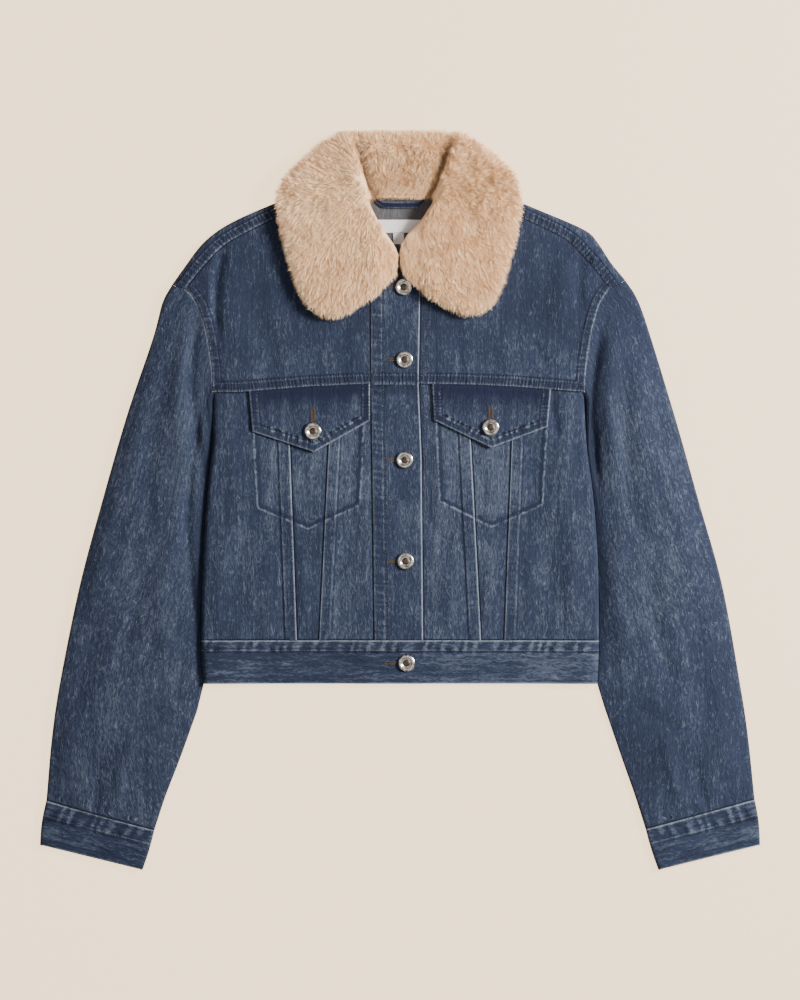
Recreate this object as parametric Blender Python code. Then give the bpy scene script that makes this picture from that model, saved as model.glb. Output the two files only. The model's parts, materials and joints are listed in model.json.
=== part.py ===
"""A cropped denim trucker jacket with a plush fur collar, laid flat with its front up.

+X runs from the wearer's right sleeve to the left sleeve, +Y from the hem to the collar and +Z
up. The jacket lies on the plane Z = 0, and right and left are always the wearer's. Sizes and
places are in millimetres, and MM turns them into Blender's metres when a mesh is made.
"""
import math

import bmesh
import bpy
import numpy as np

MM = 0.001

# Cloth and layers
CLOTH = 1.2              # denim
DOUBLE = 2.4             # folded denim: placket, stand, waistband
FLAP = 2.0               # faced pocket flap
CUFF = 2.2
CUFF_HEIGHT = 6.2        # both layers of the cuff and the space between
CUFF_BOW = 1.5           # how far the cuff's outer fold bows out
BAND_HEIGHT = 5.7        # both layers of the waistband and the space between
BAG = 1.0                # pocket bag
TRIM = 0.6               # label and tab
LOOP = 2.0               # hanger loop's thickness
LOOP_WIDTH = 6.0
GAP = 0.4                # between sewn or touching pieces
LAY = 0.3                # between stacked pieces
FRONT = 4.2              # underside of the front layer
ROLL = (FRONT + CLOTH) / 2   # outer radius where the cloth folds at a side or a shoulder
PUFF = 0.8               # rise of the sleeve's upper layer along its middle
RIDGE = 1.0              # extra height of a felled seam

# Heights along Y
HEM = -192.5
BAND_TOP = -147.0
CHEST = 113.0            # chest seam at the side, and the back yoke's seam
NECK_TOP = 255.0         # placket's upper end, under the collar
BACK_NECK = 318.0        # back neck seam

# Body's side fold: y, right x, left x
SIDE = (
    (113.0, -196.0, 193.0),
    (60.0, -196.5, 195.5),
    (0.0, -202.5, 203.0),
    (-65.0, -206.5, 207.5),
    (-147.0, -208.5, 208.5),
    (-192.5, -206.0, 207.0),
)
# Armhole seam from the underarm to the shoulder seam: right x, left x, y
ARMHOLE = (
    (-196.0, 193.0, 113.0),
    (-196.5, 194.5, 135.0),
    (-199.5, 197.5, 158.0),
    (-204.0, 202.0, 182.0),
    (-212.0, 209.0, 205.0),
    (-225.0, 219.0, 221.0),
)
# Shoulder, from the sleeve to the neck: fold x, fold y, seam x, seam y
SHOULDER = {
    "right": (
        (-238.6, 226.2, -225.0, 221.3),
        (-226.0, 244.0, -207.0, 244.0),
        (-207.0, 269.0, -186.0, 266.0),
        (-184.0, 287.0, -163.0, 280.0),
        (-149.0, 304.0, -128.0, 297.0),
        (-105.0, 321.0, -95.0, 309.0),
        (-62.0, 331.0, -62.0, 317.0),
    ),
    "left": (
        (236.0, 230.6, 219.3, 221.6),
        (221.0, 249.0, 208.0, 237.0),
        (208.0, 269.0, 191.0, 257.0),
        (194.0, 283.0, 173.0, 274.0),
        (151.0, 302.0, 135.0, 293.0),
        (105.0, 320.0, 95.0, 309.0),
        (62.0, 331.0, 62.0, 317.0),
    ),
}
# Sleeve's outer fold from the shoulder to the cuff: x, y
SLEEVE_OUTER = {
    "right": ((-239.4, 224.0), (-249.0, 207.0), (-259.0, 170.0), (-286.0, 90.0), (-312.0, 0.0),
              (-336.0, -90.0), (-356.0, -188.0), (-365.0, -248.0), (-371.0, -315.0)),
    "left": ((236.6, 228.4), (248.0, 212.0), (260.0, 180.0), (289.0, 85.0), (313.0, 0.0),
             (338.0, -90.0), (357.0, -195.0), (365.0, -248.0), (372.0, -314.0)),
}
# Sleeve's inner fold below the hem: x, y
SLEEVE_INNER = {
    "right": ((-213.0, -222.0), (-231.0, -272.0), (-246.0, -311.0), (-257.5, -346.0)),
    "left": ((214.5, -218.0), (233.0, -272.0), (246.0, -309.0), (257.5, -345.0)),
}
# Cuff corners: x, y at the lower outer corner, x, y at the lower inner corner
CUFF_END = {
    "right": ((-377.6, -362.0), (-270.0, -388.0)),
    "left": ((377.6, -362.0), (271.0, -388.0)),
}
# Buttonhole placket: y, sewn edge x, free edge x
PLACKET = (
    (NECK_TOP, -31.0, 22.0),
    (121.0, -30.5, 19.5),
    (43.0, -29.4, 22.7),
    (BAND_TOP, -26.8, 24.2),
)
STAND = (-21.0, 34.0)
# Lower edge of the front yokes, which is the chest seam: x, y
CHEST_SEAM = ((-197.0, 113.0), (-168.0, 113.0), (-96.0, 119.0), (-30.0, 122.0), (20.0, 122.0),
              (74.0, 121.0), (116.0, 119.0), (193.0, 113.0))
# Slanting seams of the V panels at the chest and at the waistband: outer x, inner x
V_SEAMS = {
    "right": ((-117.5, -72.0), (-108.0, -85.0)),
    "left": ((119.0, 71.5), (109.0, 85.0)),
}
# Neckline of the front yokes from the shoulder to the placket: x, y
NECKLINE = {
    "right": ((-62.0, 317.0), (-50.0, 285.0), (-42.0, 266.0), (-31.4, NECK_TOP)),
    "left": ((62.0, 317.0), (50.0, 285.0), (38.0, 266.0), (22.4, NECK_TOP)),
}
# Pocket flap: top outer, lower outer, point, lower inner, top inner
FLAPS = {
    "right": ((-158.0, 112.6), (-154.5, 71.5), (-90.0, 50.0), (-31.4, 83.0), (-31.4, 121.4)),
    "left": ((158.0, 114.8), (154.5, 76.5), (95.5, 54.5), (35.5, 83.5), (33.5, 121.4)),
}
# Pocket bag: top outer, lower outer, point, lower inner, top inner
BAGS = {
    "right": ((-155.0, 108.0), (-149.0, -8.0), (-96.0, -30.0), (-42.0, -5.0), (-37.0, 112.0)),
    "left": ((155.0, 108.0), (149.0, -5.0), (95.5, -28.0), (42.0, -1.0), (37.0, 112.0)),
}
# Fur collar's outer edge from the right tip round the neck to the left tip: x, y
FUR_OUTER = ((-86.0, 196.0), (-101.0, 208.0), (-111.0, 230.0), (-123.0, 272.0), (-129.5, 318.0),
             (-115.0, 344.0), (-93.0, 365.0), (-62.0, 386.0), (0.0, 388.0), (60.0, 386.0),
             (92.0, 367.0), (118.0, 343.0), (127.5, 312.0), (118.0, 260.0), (107.0, 222.0),
             (96.0, 204.0))
# Fur collar's inner edge, from the right leaf's corner up, across the back neck and down: x, y
FUR_INNER = ((-4.0, 246.0), (-5.0, 262.0), (-16.0, 280.0), (-26.0, 296.0), (-34.0, 316.0),
             (0.0, 319.0), (35.0, 316.0), (29.0, 301.0), (20.0, 289.0), (8.0, 277.0),
             (1.5, 262.0), (1.0, 246.0))
# Front ends of the collar's leaves from the inner corner to the tip: x, y
FUR_ENDS = {
    "right": ((-4.0, 246.0), (-10.0, 234.0), (-43.0, 209.0), (-66.0, 195.5), (-86.0, 196.0)),
    "left": ((1.0, 246.0), (14.0, 234.0), (55.0, 204.0), (76.0, 197.5), (96.0, 204.0)),
}
FUR_LOW = 5.8            # underside of the leaves, on the yokes
FUR_ON_PLACKET = 7.0     # underside over the placket
FUR_TOP = 23.0           # top of the leaves
FUR_BACK_TOP = 18.0      # top at the back of the neck

# Buttons: x, y
FRONT_BUTTONS = ((4.0, 223.0), (5.0, 147.0), (5.0, 42.0), (6.0, -64.0), (7.0, -170.5))
FLAP_BUTTONS = {"right": (-91.0, 72.0), "left": (95.0, 76.0)}
# Shank button's turned profile: radius, height
BUTTON_PROFILE = ((7.0, 0.0), (9.0, 1.0), (9.0, 2.2), (8.1, 3.3), (6.4, 3.7), (4.8, 2.9),
                  (3.8, 2.0))
BUTTON_SIDES = 16

# Colours (linear RGB), roughness, metallic
FINISHES = {
    "denim": ((0.055, 0.078, 0.125), 0.9, 0.0),
    "fur": ((0.58, 0.42, 0.31), 0.95, 0.0),
    "nickel": ((0.62, 0.58, 0.54), 0.3, 1.0),
    "label": ((0.6, 0.58, 0.58), 0.85, 0.0),
}


# --- lines and patches in plan ----------------------------------------------

def smooth_line(points, count):
    """count + 1 evenly spaced places along the smooth curve through the points."""
    knots = np.array(points, dtype=float)
    knots = np.vstack((2 * knots[0] - knots[1], knots, 2 * knots[-1] - knots[-2]))
    dense = []
    for i in range(1, len(knots) - 2):
        before, start, end, after = knots[i - 1:i + 3]
        for t in np.linspace(0, 1, 24, endpoint=False):
            dense.append(0.5 * (2 * start + (end - before) * t
                                + (2 * before - 5 * start + 4 * end - after) * t ** 2
                                + (3 * start - 3 * end + after - before) * t ** 3))
    dense.append(knots[-2])
    return resample(np.array(dense), count)


def resample(line, count):
    """count + 1 evenly spaced places along a line of many points."""
    steps = np.linalg.norm(np.diff(line, axis=0), axis=1)
    run = np.concatenate(([0.0], np.cumsum(steps)))
    wanted = np.linspace(0, run[-1], count + 1)
    return np.column_stack([np.interp(wanted, run, line[:, axis]) for axis in (0, 1)])


def straight(start, end, count):
    """count + 1 evenly spaced places between two points."""
    return np.linspace(np.array(start, dtype=float), np.array(end, dtype=float), count + 1)


def normals(line):
    """Unit normals to the right of the line's direction."""
    along = np.gradient(line, axis=0)
    along /= np.linalg.norm(along, axis=1)[:, None]
    return np.column_stack((along[:, 1], -along[:, 0]))


def patch(bottom, top, left, right):
    """A grid of places that meets four edge lines, as rows from bottom to top."""
    columns = len(bottom)
    rows = len(left)
    u = np.linspace(0, 1, columns)[None, :, None]
    v = np.linspace(0, 1, rows)[:, None, None]
    ruled = (1 - v) * bottom[None] + v * top[None] + (1 - u) * left[:, None] + u * right[:, None]
    corners = ((1 - u) * (1 - v) * bottom[0] + u * (1 - v) * bottom[-1]
               + (1 - u) * v * top[0] + u * v * top[-1])
    return ruled - corners


def chest_y(x):
    """Height of the chest seam at x."""
    xs, ys = zip(*CHEST_SEAM)
    return np.interp(x, xs, ys)


def side_x(side, y):
    """Place of the body's side fold at y."""
    ys, rights, lefts = (np.array(column) for column in zip(*SIDE[::-1]))
    spline = smooth_line(np.column_stack((rights if side == "right" else lefts, ys)), 80)
    return np.interp(y, spline[:, 1], spline[:, 0])


def placket_x(y, edge):
    """Place of the placket's sewn edge (1) or free edge (2) at y."""
    rows = PLACKET[::-1]
    return np.interp(y, [row[0] for row in rows], [row[edge] for row in rows])


def sign(side):
    """-1 on the wearer's right and +1 on the left."""
    return -1.0 if side == "right" else 1.0


def armhole(side, count):
    """The armhole seam from the underarm up to the shoulder seam."""
    column = 0 if side == "right" else 1
    return smooth_line([(row[column], row[2]) for row in ARMHOLE], count)


# --- solids -------------------------------------------------------------------

def finish(name):
    """The material of that name."""
    material = bpy.data.materials.get(name)
    if material:
        return material
    colour, roughness, metallic = FINISHES[name]
    material = bpy.data.materials.new(name)
    material.use_nodes = True
    shader = material.node_tree.nodes["Principled BSDF"]
    shader.inputs["Base Color"].default_value = (*colour, 1.0)
    shader.inputs["Roughness"].default_value = roughness
    shader.inputs["Metallic"].default_value = metallic
    return material


def add_object(name, mesh_tool, material):
    """An object from a bmesh in millimetres, with its faces turned outwards."""
    bmesh.ops.recalc_face_normals(mesh_tool, faces=mesh_tool.faces)
    bmesh.ops.scale(mesh_tool, vec=(MM, MM, MM), verts=mesh_tool.verts)
    mesh = bpy.data.meshes.new(name)
    mesh_tool.to_mesh(mesh)
    mesh_tool.free()
    mesh.materials.append(finish(material))
    mesh.shade_smooth()
    mesh.set_sharp_from_angle(angle=math.radians(35))
    bpy.context.collection.objects.link(bpy.data.objects.new(name, mesh))


def add_cloth(name, inner, outer, material="denim", keep=None, wrap=False):
    """A closed wall between two grids of 3-D points, rows by columns.

    keep(row, column) says which cells of the grid are cloth, and wrap joins the last
    column to the first, as on a tube.
    """
    rows, columns = inner.shape[:2]
    cells = {(i, j) for i in range(rows - 1) for j in range(columns if wrap else columns - 1)
             if keep is None or keep(i, j)}
    tool = bmesh.new()
    made = {}

    def vertex(skin, i, j):
        key = (skin, i, j % columns)
        if key not in made:
            made[key] = tool.verts.new((inner, outer)[skin][i, j % columns])
        return made[key]

    for i, j in sorted(cells):
        loop = ((i, j), (i, j + 1), (i + 1, j + 1), (i + 1, j))
        for skin in (0, 1):
            tool.faces.new([vertex(skin, *place) for place in loop])
        across = ((i - 1, j), (i, j + 1), (i + 1, j), (i, j - 1))
        for k, (row, column) in enumerate(across):
            neighbour = (row, column % columns if wrap else column)
            if neighbour not in cells:
                start, end = loop[k], loop[(k + 1) % 4]
                tool.faces.new((vertex(0, *start), vertex(0, *end), vertex(1, *end),
                                vertex(1, *start)))
    add_object(name, tool, material)


def lift(plan, height):
    """A grid of places raised to a height, which is a number or a grid of them."""
    return np.dstack((plan, np.broadcast_to(height, plan.shape[:2])))


def add_layer(name, plan, low, thickness, material="denim"):
    """A flat-lying wall on a plan grid."""
    add_cloth(name, lift(plan, low), lift(plan, low + thickness), material)


def fold(edge, outward, angles, centre_z, radius, thickness):
    """Rolled columns round a folded edge: the inner and the outer points at each angle.

    edge holds the outermost places, outward the unit normals there, and an angle is -90
    degrees at the bottom of the roll, 0 outermost and 90 on top.
    """
    axis = edge - outward * radius
    skins = []
    for reach in (radius - thickness, radius):
        columns = [np.column_stack((axis + outward * reach * math.cos(math.radians(angle)),
                                    np.full(len(edge), centre_z
                                            + reach * math.sin(math.radians(angle)))))
                   for angle in angles]
        skins.append(np.stack(columns, axis=1))
    return skins


# --- body ---------------------------------------------------------------------

def side_line(side, low, high, count, outset=0.0):
    """Places up the body's side fold."""
    ys = np.linspace(low, high, count + 1)
    return np.column_stack((side_x(side, ys) + sign(side) * outset, ys))


def outward_from_body(side, line):
    """Unit normals that point away from the body along a line that runs up."""
    return normals(line) * sign(side)


def add_back_panel():
    """The back lies on the table, and rolls up at both sides to the side seams."""
    low, high, rows, columns = BAND_TOP + GAP / 2, CHEST - GAP / 2, 9, 12
    angles = (-66, -42, -18)
    right, left = (side_line(side, low, high, rows) for side in ("right", "left"))
    right_out, left_out = outward_from_body("right", right), outward_from_body("left", left)
    flat = patch(straight(right[0] - right_out[0] * ROLL, left[0] - left_out[0] * ROLL, columns),
                 straight(right[-1] - right_out[-1] * ROLL, left[-1] - left_out[-1] * ROLL, columns),
                 right - right_out * ROLL, left - left_out * ROLL)
    right_roll = fold(right, right_out, angles[::-1], ROLL, ROLL, CLOTH)
    left_roll = fold(left, left_out, angles, ROLL, ROLL, CLOTH)
    inner, outer = (np.concatenate((right_roll[skin], lift(flat, height), left_roll[skin]), axis=1)
                    for skin, height in ((0, CLOTH), (1, 0.0)))
    add_cloth("back_panel", inner, outer)


def add_back_yoke():
    """The yoke lies under the shoulders, rolls over them and ends at the front shoulder seams."""
    rows, shoulder, neck = 8, 8, 4
    angles = (-45, 0, 45)
    right, left = (armhole(side, rows - 1) for side in ("right", "left"))
    right = right - outward_from_body("right", right) * GAP / 2
    left = left - outward_from_body("left", left) * GAP / 2
    folds, seams = {}, {}
    for side in ("right", "left"):
        table = SHOULDER[side]
        folds[side] = smooth_line([row[:2] for row in table], shoulder)
        seams[side] = smooth_line([row[2:] for row in table], shoulder)
    out = {"right": -normals(folds["right"]), "left": normals(folds["left"])}
    order = {"right": slice(None), "left": slice(None, None, -1)}

    def run(line):
        return {side: line[side][order[side]] for side in line}

    folds, seams, out = run(folds), run(seams), run(out)
    edge = {side: folds[side] - out[side] * ROLL for side in folds}
    across = np.linspace(edge["right"][-1], edge["left"][0], neck + 1)[1:-1]
    across[:, 1] = BACK_NECK
    top = np.vstack((edge["right"], across, edge["left"]))
    columns = len(top)
    right = np.vstack((right, top[0]))
    left = np.vstack((left, top[-1]))
    spread = (top[:, 0] - top[0, 0]) / (top[-1, 0] - top[0, 0])
    start, end = right[0], left[0]
    bottom = start + spread[:, None] * (end - start)
    bottom[:, 1] = CHEST + GAP / 2
    flat = patch(bottom, top, right, left)
    inner, outer = [], []
    for skin, store in ((0, inner), (1, outer)):
        store.extend(lift(flat, CLOTH if skin == 0 else 0.0))
    roll = {side: fold(folds[side], out[side], angles, ROLL, ROLL, CLOTH) for side in folds}
    blank = np.zeros((neck - 1, 3))
    for k in range(len(angles)):
        for skin, store in ((0, inner), (1, outer)):
            store.append(np.vstack((roll["right"][skin][:, k], blank, roll["left"][skin][:, k])))
    for share in (0.0, 1.0):
        plan = {side: edge[side] + share * (seams[side] - edge[side]) for side in edge}
        for skin, store in ((0, inner), (1, outer)):
            height = FRONT if skin == 0 else FRONT + CLOTH
            store.append(np.vstack([np.column_stack((plan["right"], np.full(shoulder + 1, height))),
                                    blank,
                                    np.column_stack((plan["left"], np.full(shoulder + 1, height)))]))
    flat_rows = flat.shape[0] - 1

    def is_cloth(i, j):
        return i < flat_rows or j < shoulder or j >= columns - 1 - shoulder

    add_cloth("back_yoke", np.array(inner), np.array(outer), keep=is_cloth)


def add_front_yoke(side):
    """The upper front, from the chest seam to the shoulder seam and the neckline."""
    shoulder, neck, rows = 8, 4, 7
    arm = armhole(side, rows)
    arm = arm - outward_from_body(side, arm) * GAP / 2
    seam = smooth_line([row[2:] for row in SHOULDER[side]], shoulder)
    inward = normals(seam) * -sign(side)
    seam = seam + inward * GAP
    arm[-1] = seam[0]
    neckline = smooth_line(NECKLINE[side], neck)[1:]
    top = np.vstack((seam, neckline))
    edge = 1 if side == "right" else 2
    ys = np.linspace(chest_y(top[-1, 0]) - GAP / 2, NECK_TOP, rows + 1)
    centre = np.column_stack((placket_x(ys, edge) + sign(side) * GAP, ys))
    top[-1] = centre[-1]
    xs = np.interp(np.arange(len(top)) / (len(top) - 1), (0, 1), (arm[0, 0], centre[0, 0]))
    bottom = np.column_stack((xs, chest_y(xs) + GAP / 2))
    arm[0] = bottom[0]
    centre[0] = bottom[-1]
    plan = patch(bottom, top, arm, centre)
    extra = np.zeros(plan.shape[:2])
    extra[0] = RIDGE
    add_layer(f"front_yoke_{side}", plan, FRONT, CLOTH + extra)


def seam_x(side, which, shift=0.0):
    """Place of a V panel's outer (0) or inner (1) slanting seam as a function of y."""
    top, low = (pair[which] for pair in V_SEAMS[side])
    return lambda y: np.interp(y, (BAND_TOP, 117.0), (low, top)) + shift


def add_panel(name, from_x, to_x, shares, ridge=()):
    """A lower front panel between two seams, from the waistband up to the chest seam.

    from_x and to_x give the seams' places at y, shares place the columns between them, and
    ridge lists the columns on the felled seam, which stands up.
    """
    rows = 7
    low = BAND_TOP + GAP / 2
    plan = np.zeros((rows + 1, len(shares), 2))
    for j, share in enumerate(shares):
        top_x = from_x(117.0) + share * (to_x(117.0) - from_x(117.0))
        ys = np.linspace(low, chest_y(top_x) - GAP / 2, rows + 1)
        plan[:, j] = np.column_stack((from_x(ys) + share * (to_x(ys) - from_x(ys)), ys))
    thick = np.full(plan.shape[:2], CLOTH)
    thick[:, list(ridge)] += RIDGE
    add_layer(name, plan, FRONT, thick)


def add_side_front(side):
    """The outer front panel, which rolls down at the side fold to the side seam."""
    low, rows = BAND_TOP + GAP / 2, 9
    angles = (66, 42, 18, -7)
    edge = side_line(side, low, CHEST - GAP / 2, rows)
    out = outward_from_body(side, edge)
    flat_edge = edge - out * ROLL
    seam_at = seam_x(side, 0, sign(side) * GAP / 2)
    ys = np.linspace(low, chest_y(seam_at(117.0)) - GAP / 2, rows + 1)
    seam = np.column_stack((seam_at(ys), ys))
    shares = (0.0, 0.14, 0.155, 0.45, 0.75, 1.0)
    plan = np.stack([seam + share * (flat_edge - seam) for share in shares], axis=1)
    plan[-1, 1:-1, 1] = chest_y(plan[-1, 1:-1, 0]) - GAP / 2
    thick = np.full(plan.shape[:2], CLOTH)
    thick[:, :2] += RIDGE
    roll = fold(edge, out, angles, ROLL, ROLL, CLOTH)
    inner = np.concatenate((lift(plan, FRONT), roll[0]), axis=1)
    outer = np.concatenate((lift(plan, FRONT + thick), roll[1]), axis=1)
    add_cloth(f"side_front_{side}", inner, outer)


def add_fronts():
    """The panels under the chest seam on both sides of the placket."""
    for side in ("right", "left"):
        s = sign(side)
        half = s * GAP / 2
        edge = 1 if side == "right" else 2

        def centre(y, edge=edge, s=s):
            return placket_x(y, edge) + s * GAP

        add_panel(f"v_panel_{side}", seam_x(side, 0, -half), seam_x(side, 1, half), (0, 0.5, 1))
        add_panel(f"centre_front_{side}", seam_x(side, 1, -half), centre, (0, 0.26, 0.28, 0.6, 1),
                  ridge=(0, 1))
        add_side_front(side)


def add_placket():
    """The buttonhole band laps over the button stand."""
    low = BAND_TOP + GAP / 2
    ys = np.unique(np.concatenate((np.linspace(low, 122, 6), np.linspace(122, NECK_TOP, 4))))
    plan = np.stack([np.column_stack((placket_x(ys, edge), ys)) for edge in (1, 2)], axis=1)
    add_layer("buttonhole_placket", plan, FRONT, DOUBLE)
    stand = np.stack([np.column_stack((np.full(len(ys), x), ys)) for x in STAND], axis=1)
    add_layer("button_stand", stand, FRONT - LAY - DOUBLE, DOUBLE)


def pointed(corners, columns, rows):
    """A grid over a five-cornered shape whose lower edge comes to a point."""
    top_outer, low_outer, point, low_inner, top_inner = (np.array(c) for c in corners)
    half = columns // 2
    low = np.vstack((straight(low_outer, point, half), straight(point, low_inner, half)[1:]))
    return patch(low, straight(top_outer, top_inner, columns), straight(low_outer, top_outer, rows),
                 straight(low_inner, top_inner, rows))


def add_pockets():
    """The bags hang inside the fronts, and the flaps lie on them."""
    for side in ("right", "left"):
        bag = pointed(BAGS[side], 6, 4)
        add_layer(f"pocket_bag_{side}", bag, FRONT - LAY - BAG, BAG)
        flap = pointed(FLAPS[side], 6, 3)
        flap[-1, :, 1] = chest_y(flap[-1, :, 0]) - GAP
        add_layer(f"pocket_flap_{side}", flap, FRONT + CLOTH + RIDGE + LAY, FLAP)


def add_waistband():
    """One folded strip: over at the placket, round the back, and under at the other end."""
    turn = BAND_HEIGHT / 2
    back = DOUBLE / 2
    front = 2 * turn - DOUBLE / 2
    over = front + DOUBLE + LAY
    bend = [math.radians(angle) for angle in (60, 30, 0, -30, -60)]
    edge = 207.0
    ring = turn - DOUBLE / 2
    path = [(24.0, over), (-8.0, over), (-32.0, over), (-52.0, front + 1.2), (-72.0, front)]
    path += [(x, front) for x in (-140.0, -edge + turn)]
    path += [(-edge + turn - ring * math.cos(a), turn + ring * math.sin(a)) for a in bend]
    path += [(x, back) for x in np.linspace(-edge + turn, edge - turn, 8)]
    path += [(edge - turn + ring * math.cos(a), turn + ring * math.sin(a)) for a in bend[::-1]]
    path += [(x, front) for x in (edge - turn, 140.0, 80.0, 30.0, -19.0)]
    path = np.array(path)
    across = -normals(path)
    rows = np.linspace(HEM, BAND_TOP - GAP / 2, 4)
    skins = []
    for reach in (-DOUBLE / 2, DOUBLE / 2):
        line = path + across * reach
        grid = np.zeros((len(rows), len(path), 3))
        for i, y in enumerate(rows):
            stretch = np.where(line[:, 0] < 0, -side_x("right", y), side_x("left", y)) / edge
            grid[i] = np.column_stack((line[:, 0] * stretch, np.full(len(line), y), line[:, 1]))
        skins.append(grid)
    add_cloth("waistband", skins[0], skins[1])


# --- sleeves ------------------------------------------------------------------

def tube(name, edges, rows_plan, height, thickness, puff, radius):
    """A flattened tube whose underside is flat on the table.

    edges holds the inner fold, the outer fold and their outward normals. rows_plan is the
    grid between the folds' flat edges, from the inner to the outer one.
    """
    inner_edge, outer_edge, inner_out, outer_out = edges
    angles = (-45, 0, 45)
    outer_roll = fold(outer_edge, outer_out, angles, height / 2, radius, thickness)
    inner_roll = fold(inner_edge, inner_out, angles[::-1], height / 2, radius, thickness)
    columns = rows_plan.shape[1]
    crown = puff * np.sin(np.linspace(0, math.pi, columns))[None, ::-1]
    skins = []
    for skin, (low, high) in enumerate(((thickness, height - thickness), (0.0, height))):
        skins.append(np.concatenate((lift(rows_plan, low), outer_roll[skin],
                                     lift(rows_plan[:, ::-1], high + crown), inner_roll[skin]),
                                    axis=1))
    add_cloth(name, skins[0], skins[1], wrap=True)


def add_sleeve(side):
    """A sleeve from the armhole seam to the cuff, and the cuff below it."""
    s = sign(side)
    rows, seam_columns = 13, 7
    body = side_line(side, HEM, CHEST, 40, outset=GAP)[::-1]
    inner = resample(np.vstack((body, smooth_line(SLEEVE_INNER[side], 20))), rows)
    outer = smooth_line(SLEEVE_OUTER[side], rows)
    inner_out = normals(inner) * s
    outer_out = normals(outer) * -s
    inner_out[0] = (-s, 0.0)
    inner_flat = inner - inner_out * ROLL
    outer_flat = outer - outer_out * ROLL
    arm = armhole(side, seam_columns)
    arm = arm + outward_from_body(side, arm) * GAP / 2
    head = np.vstack((inner_flat[0], arm[1:], outer_flat[0]))
    wrist = straight(inner_flat[-1], outer_flat[-1], len(head) - 1)
    run_in = np.linspace(0, 1, len(head))
    chord = straight(head[0], head[-1], len(head) - 1)
    plan = np.zeros((rows + 1, len(head), 2))
    for i in range(rows + 1):
        fade = max(0.0, 1 - i / (rows * 0.6)) ** 1.5
        line = inner_flat[i] + run_in[:, None] * (outer_flat[i] - inner_flat[i])
        plan[i] = line + fade * (head - chord)
    plan[-1] = wrist
    tube(f"sleeve_{side}", (inner, outer, inner_out, outer_out), plan, 2 * ROLL, CLOTH, PUFF, ROLL)
    add_cuff(side, inner[-1], outer[-1])


def add_cuff(side, inner_top, outer_top):
    """A band of folded cloth round the end of the sleeve."""
    s = sign(side)
    rows, columns, radius = 3, 8, CUFF_HEIGHT / 2
    outer_low, inner_low = (np.array(corner) for corner in CUFF_END[side])
    down = (inner_low - inner_top) / np.linalg.norm(inner_low - inner_top)
    inner = straight(inner_top + down * GAP, inner_low, rows)
    outer = straight(outer_top + down * GAP, outer_low, rows)
    outer[:, 0] += s * CUFF_BOW * np.sin(np.linspace(0, math.pi, rows + 1))
    inner_out = normals(inner) * s
    outer_out = normals(outer) * -s
    plan = patch(straight(inner[0] - inner_out[0] * radius, outer[0] - outer_out[0] * radius, columns),
                 straight(inner[-1] - inner_out[-1] * radius, outer[-1] - outer_out[-1] * radius,
                          columns),
                 inner - inner_out * radius, outer - outer_out * radius)
    tube(f"cuff_{side}", (inner, outer, inner_out, outer_out), plan, 2 * radius, CUFF, 0.3, radius)


# --- collar and trims ---------------------------------------------------------

def back_edge(x):
    """The yoke's upper edge at x, at the shoulder folds and the back neck."""
    points = list(SHOULDER["right"]) + [(-40.0, BACK_NECK), (40.0, BACK_NECK)]
    points += list(SHOULDER["left"][::-1])
    return np.interp(x, [p[0] for p in points], [p[1] for p in points])


def fur_underside(x, y):
    """What the collar lies on: the yokes, the placket, or the table past the shoulders."""
    on_placket = np.clip((60.0 - abs(x)) / 20.0, 0, 1) * np.clip((285.0 - y) / 20.0, 0, 1)
    on_body = FUR_LOW + (FUR_ON_PLACKET - FUR_LOW) * on_placket
    past = np.clip((y - back_edge(x) - 10.0) / 20.0, 0, 1)
    return on_body * (1 - past)


def add_collar():
    """One strip of plush from leaf tip to leaf tip, with the back of the neck between."""
    length, width = 44, 8
    outer = smooth_line(FUR_OUTER, length)
    inner = smooth_line(FUR_INNER, length)
    ends = [smooth_line(FUR_ENDS[side], width) for side in ("right", "left")]
    share = np.linspace(0, 1, width + 1)[:, None]
    plan = np.stack([inner + s * (outer - inner) for s in share[:, 0]])
    for first, end, place in ((0, ends[0], 0), (length, ends[1], -1)):
        chord = straight(inner[place], outer[place], width)
        for j in range(length + 1):
            near = max(0.0, 1 - abs(j - first) / 9.0) ** 1.6
            plan[:, j] += near * (end - chord)
    low = fur_underside(plan[:, :, 0], plan[:, :, 1])
    behind = np.clip((abs(np.arange(length + 1) - length / 2) - 7) / 4, 0, 1)[None]
    high = np.broadcast_to(FUR_BACK_TOP + (FUR_TOP - FUR_BACK_TOP) * behind, low.shape)
    round_across = 1 - abs(2 * share - 1) ** 4
    to_end = np.minimum(np.arange(length + 1), length - np.arange(length + 1)) / 3.0
    round_along = 1 - (1 - np.clip(to_end, 0, 1)) ** 3
    body = np.sqrt(np.clip(round_across * round_along[None], 0, 1))
    body = 0.3 + 0.7 * body
    middle = (low + high) / 2 + 1.5 * (1 - body)
    half = (high - low) / 2
    add_cloth("collar_fur", lift(plan, middle - half * body), lift(plan, middle + half * body),
              material="fur")


def add_neck_trims():
    """The hanger loop, the blank label and the size tab on the inside of the back."""
    line = smooth_line(((-30.0, 313.0), (-16.0, 309.5), (16.0, 309.5), (29.0, 313.0)), 8)
    plan = np.stack((line, line + np.array((0.0, LOOP_WIDTH))))
    add_layer("hanger_loop", plan, CLOTH + LAY, LOOP)
    for name, (x0, x1), (y0, y1) in (("neck_label", (-26.5, 26.0), (280.5, 294.0)),
                                     ("size_tab", (-7.0, 4.0), (268.5, 280.1))):
        plan = patch(straight((x0, y0), (x1, y0), 2), straight((x0, y1), (x1, y1), 2),
                     straight((x0, y0), (x0, y1), 1), straight((x1, y0), (x1, y1), 1))
        add_layer(name, plan, CLOTH + LAY, TRIM, material="label")


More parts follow.
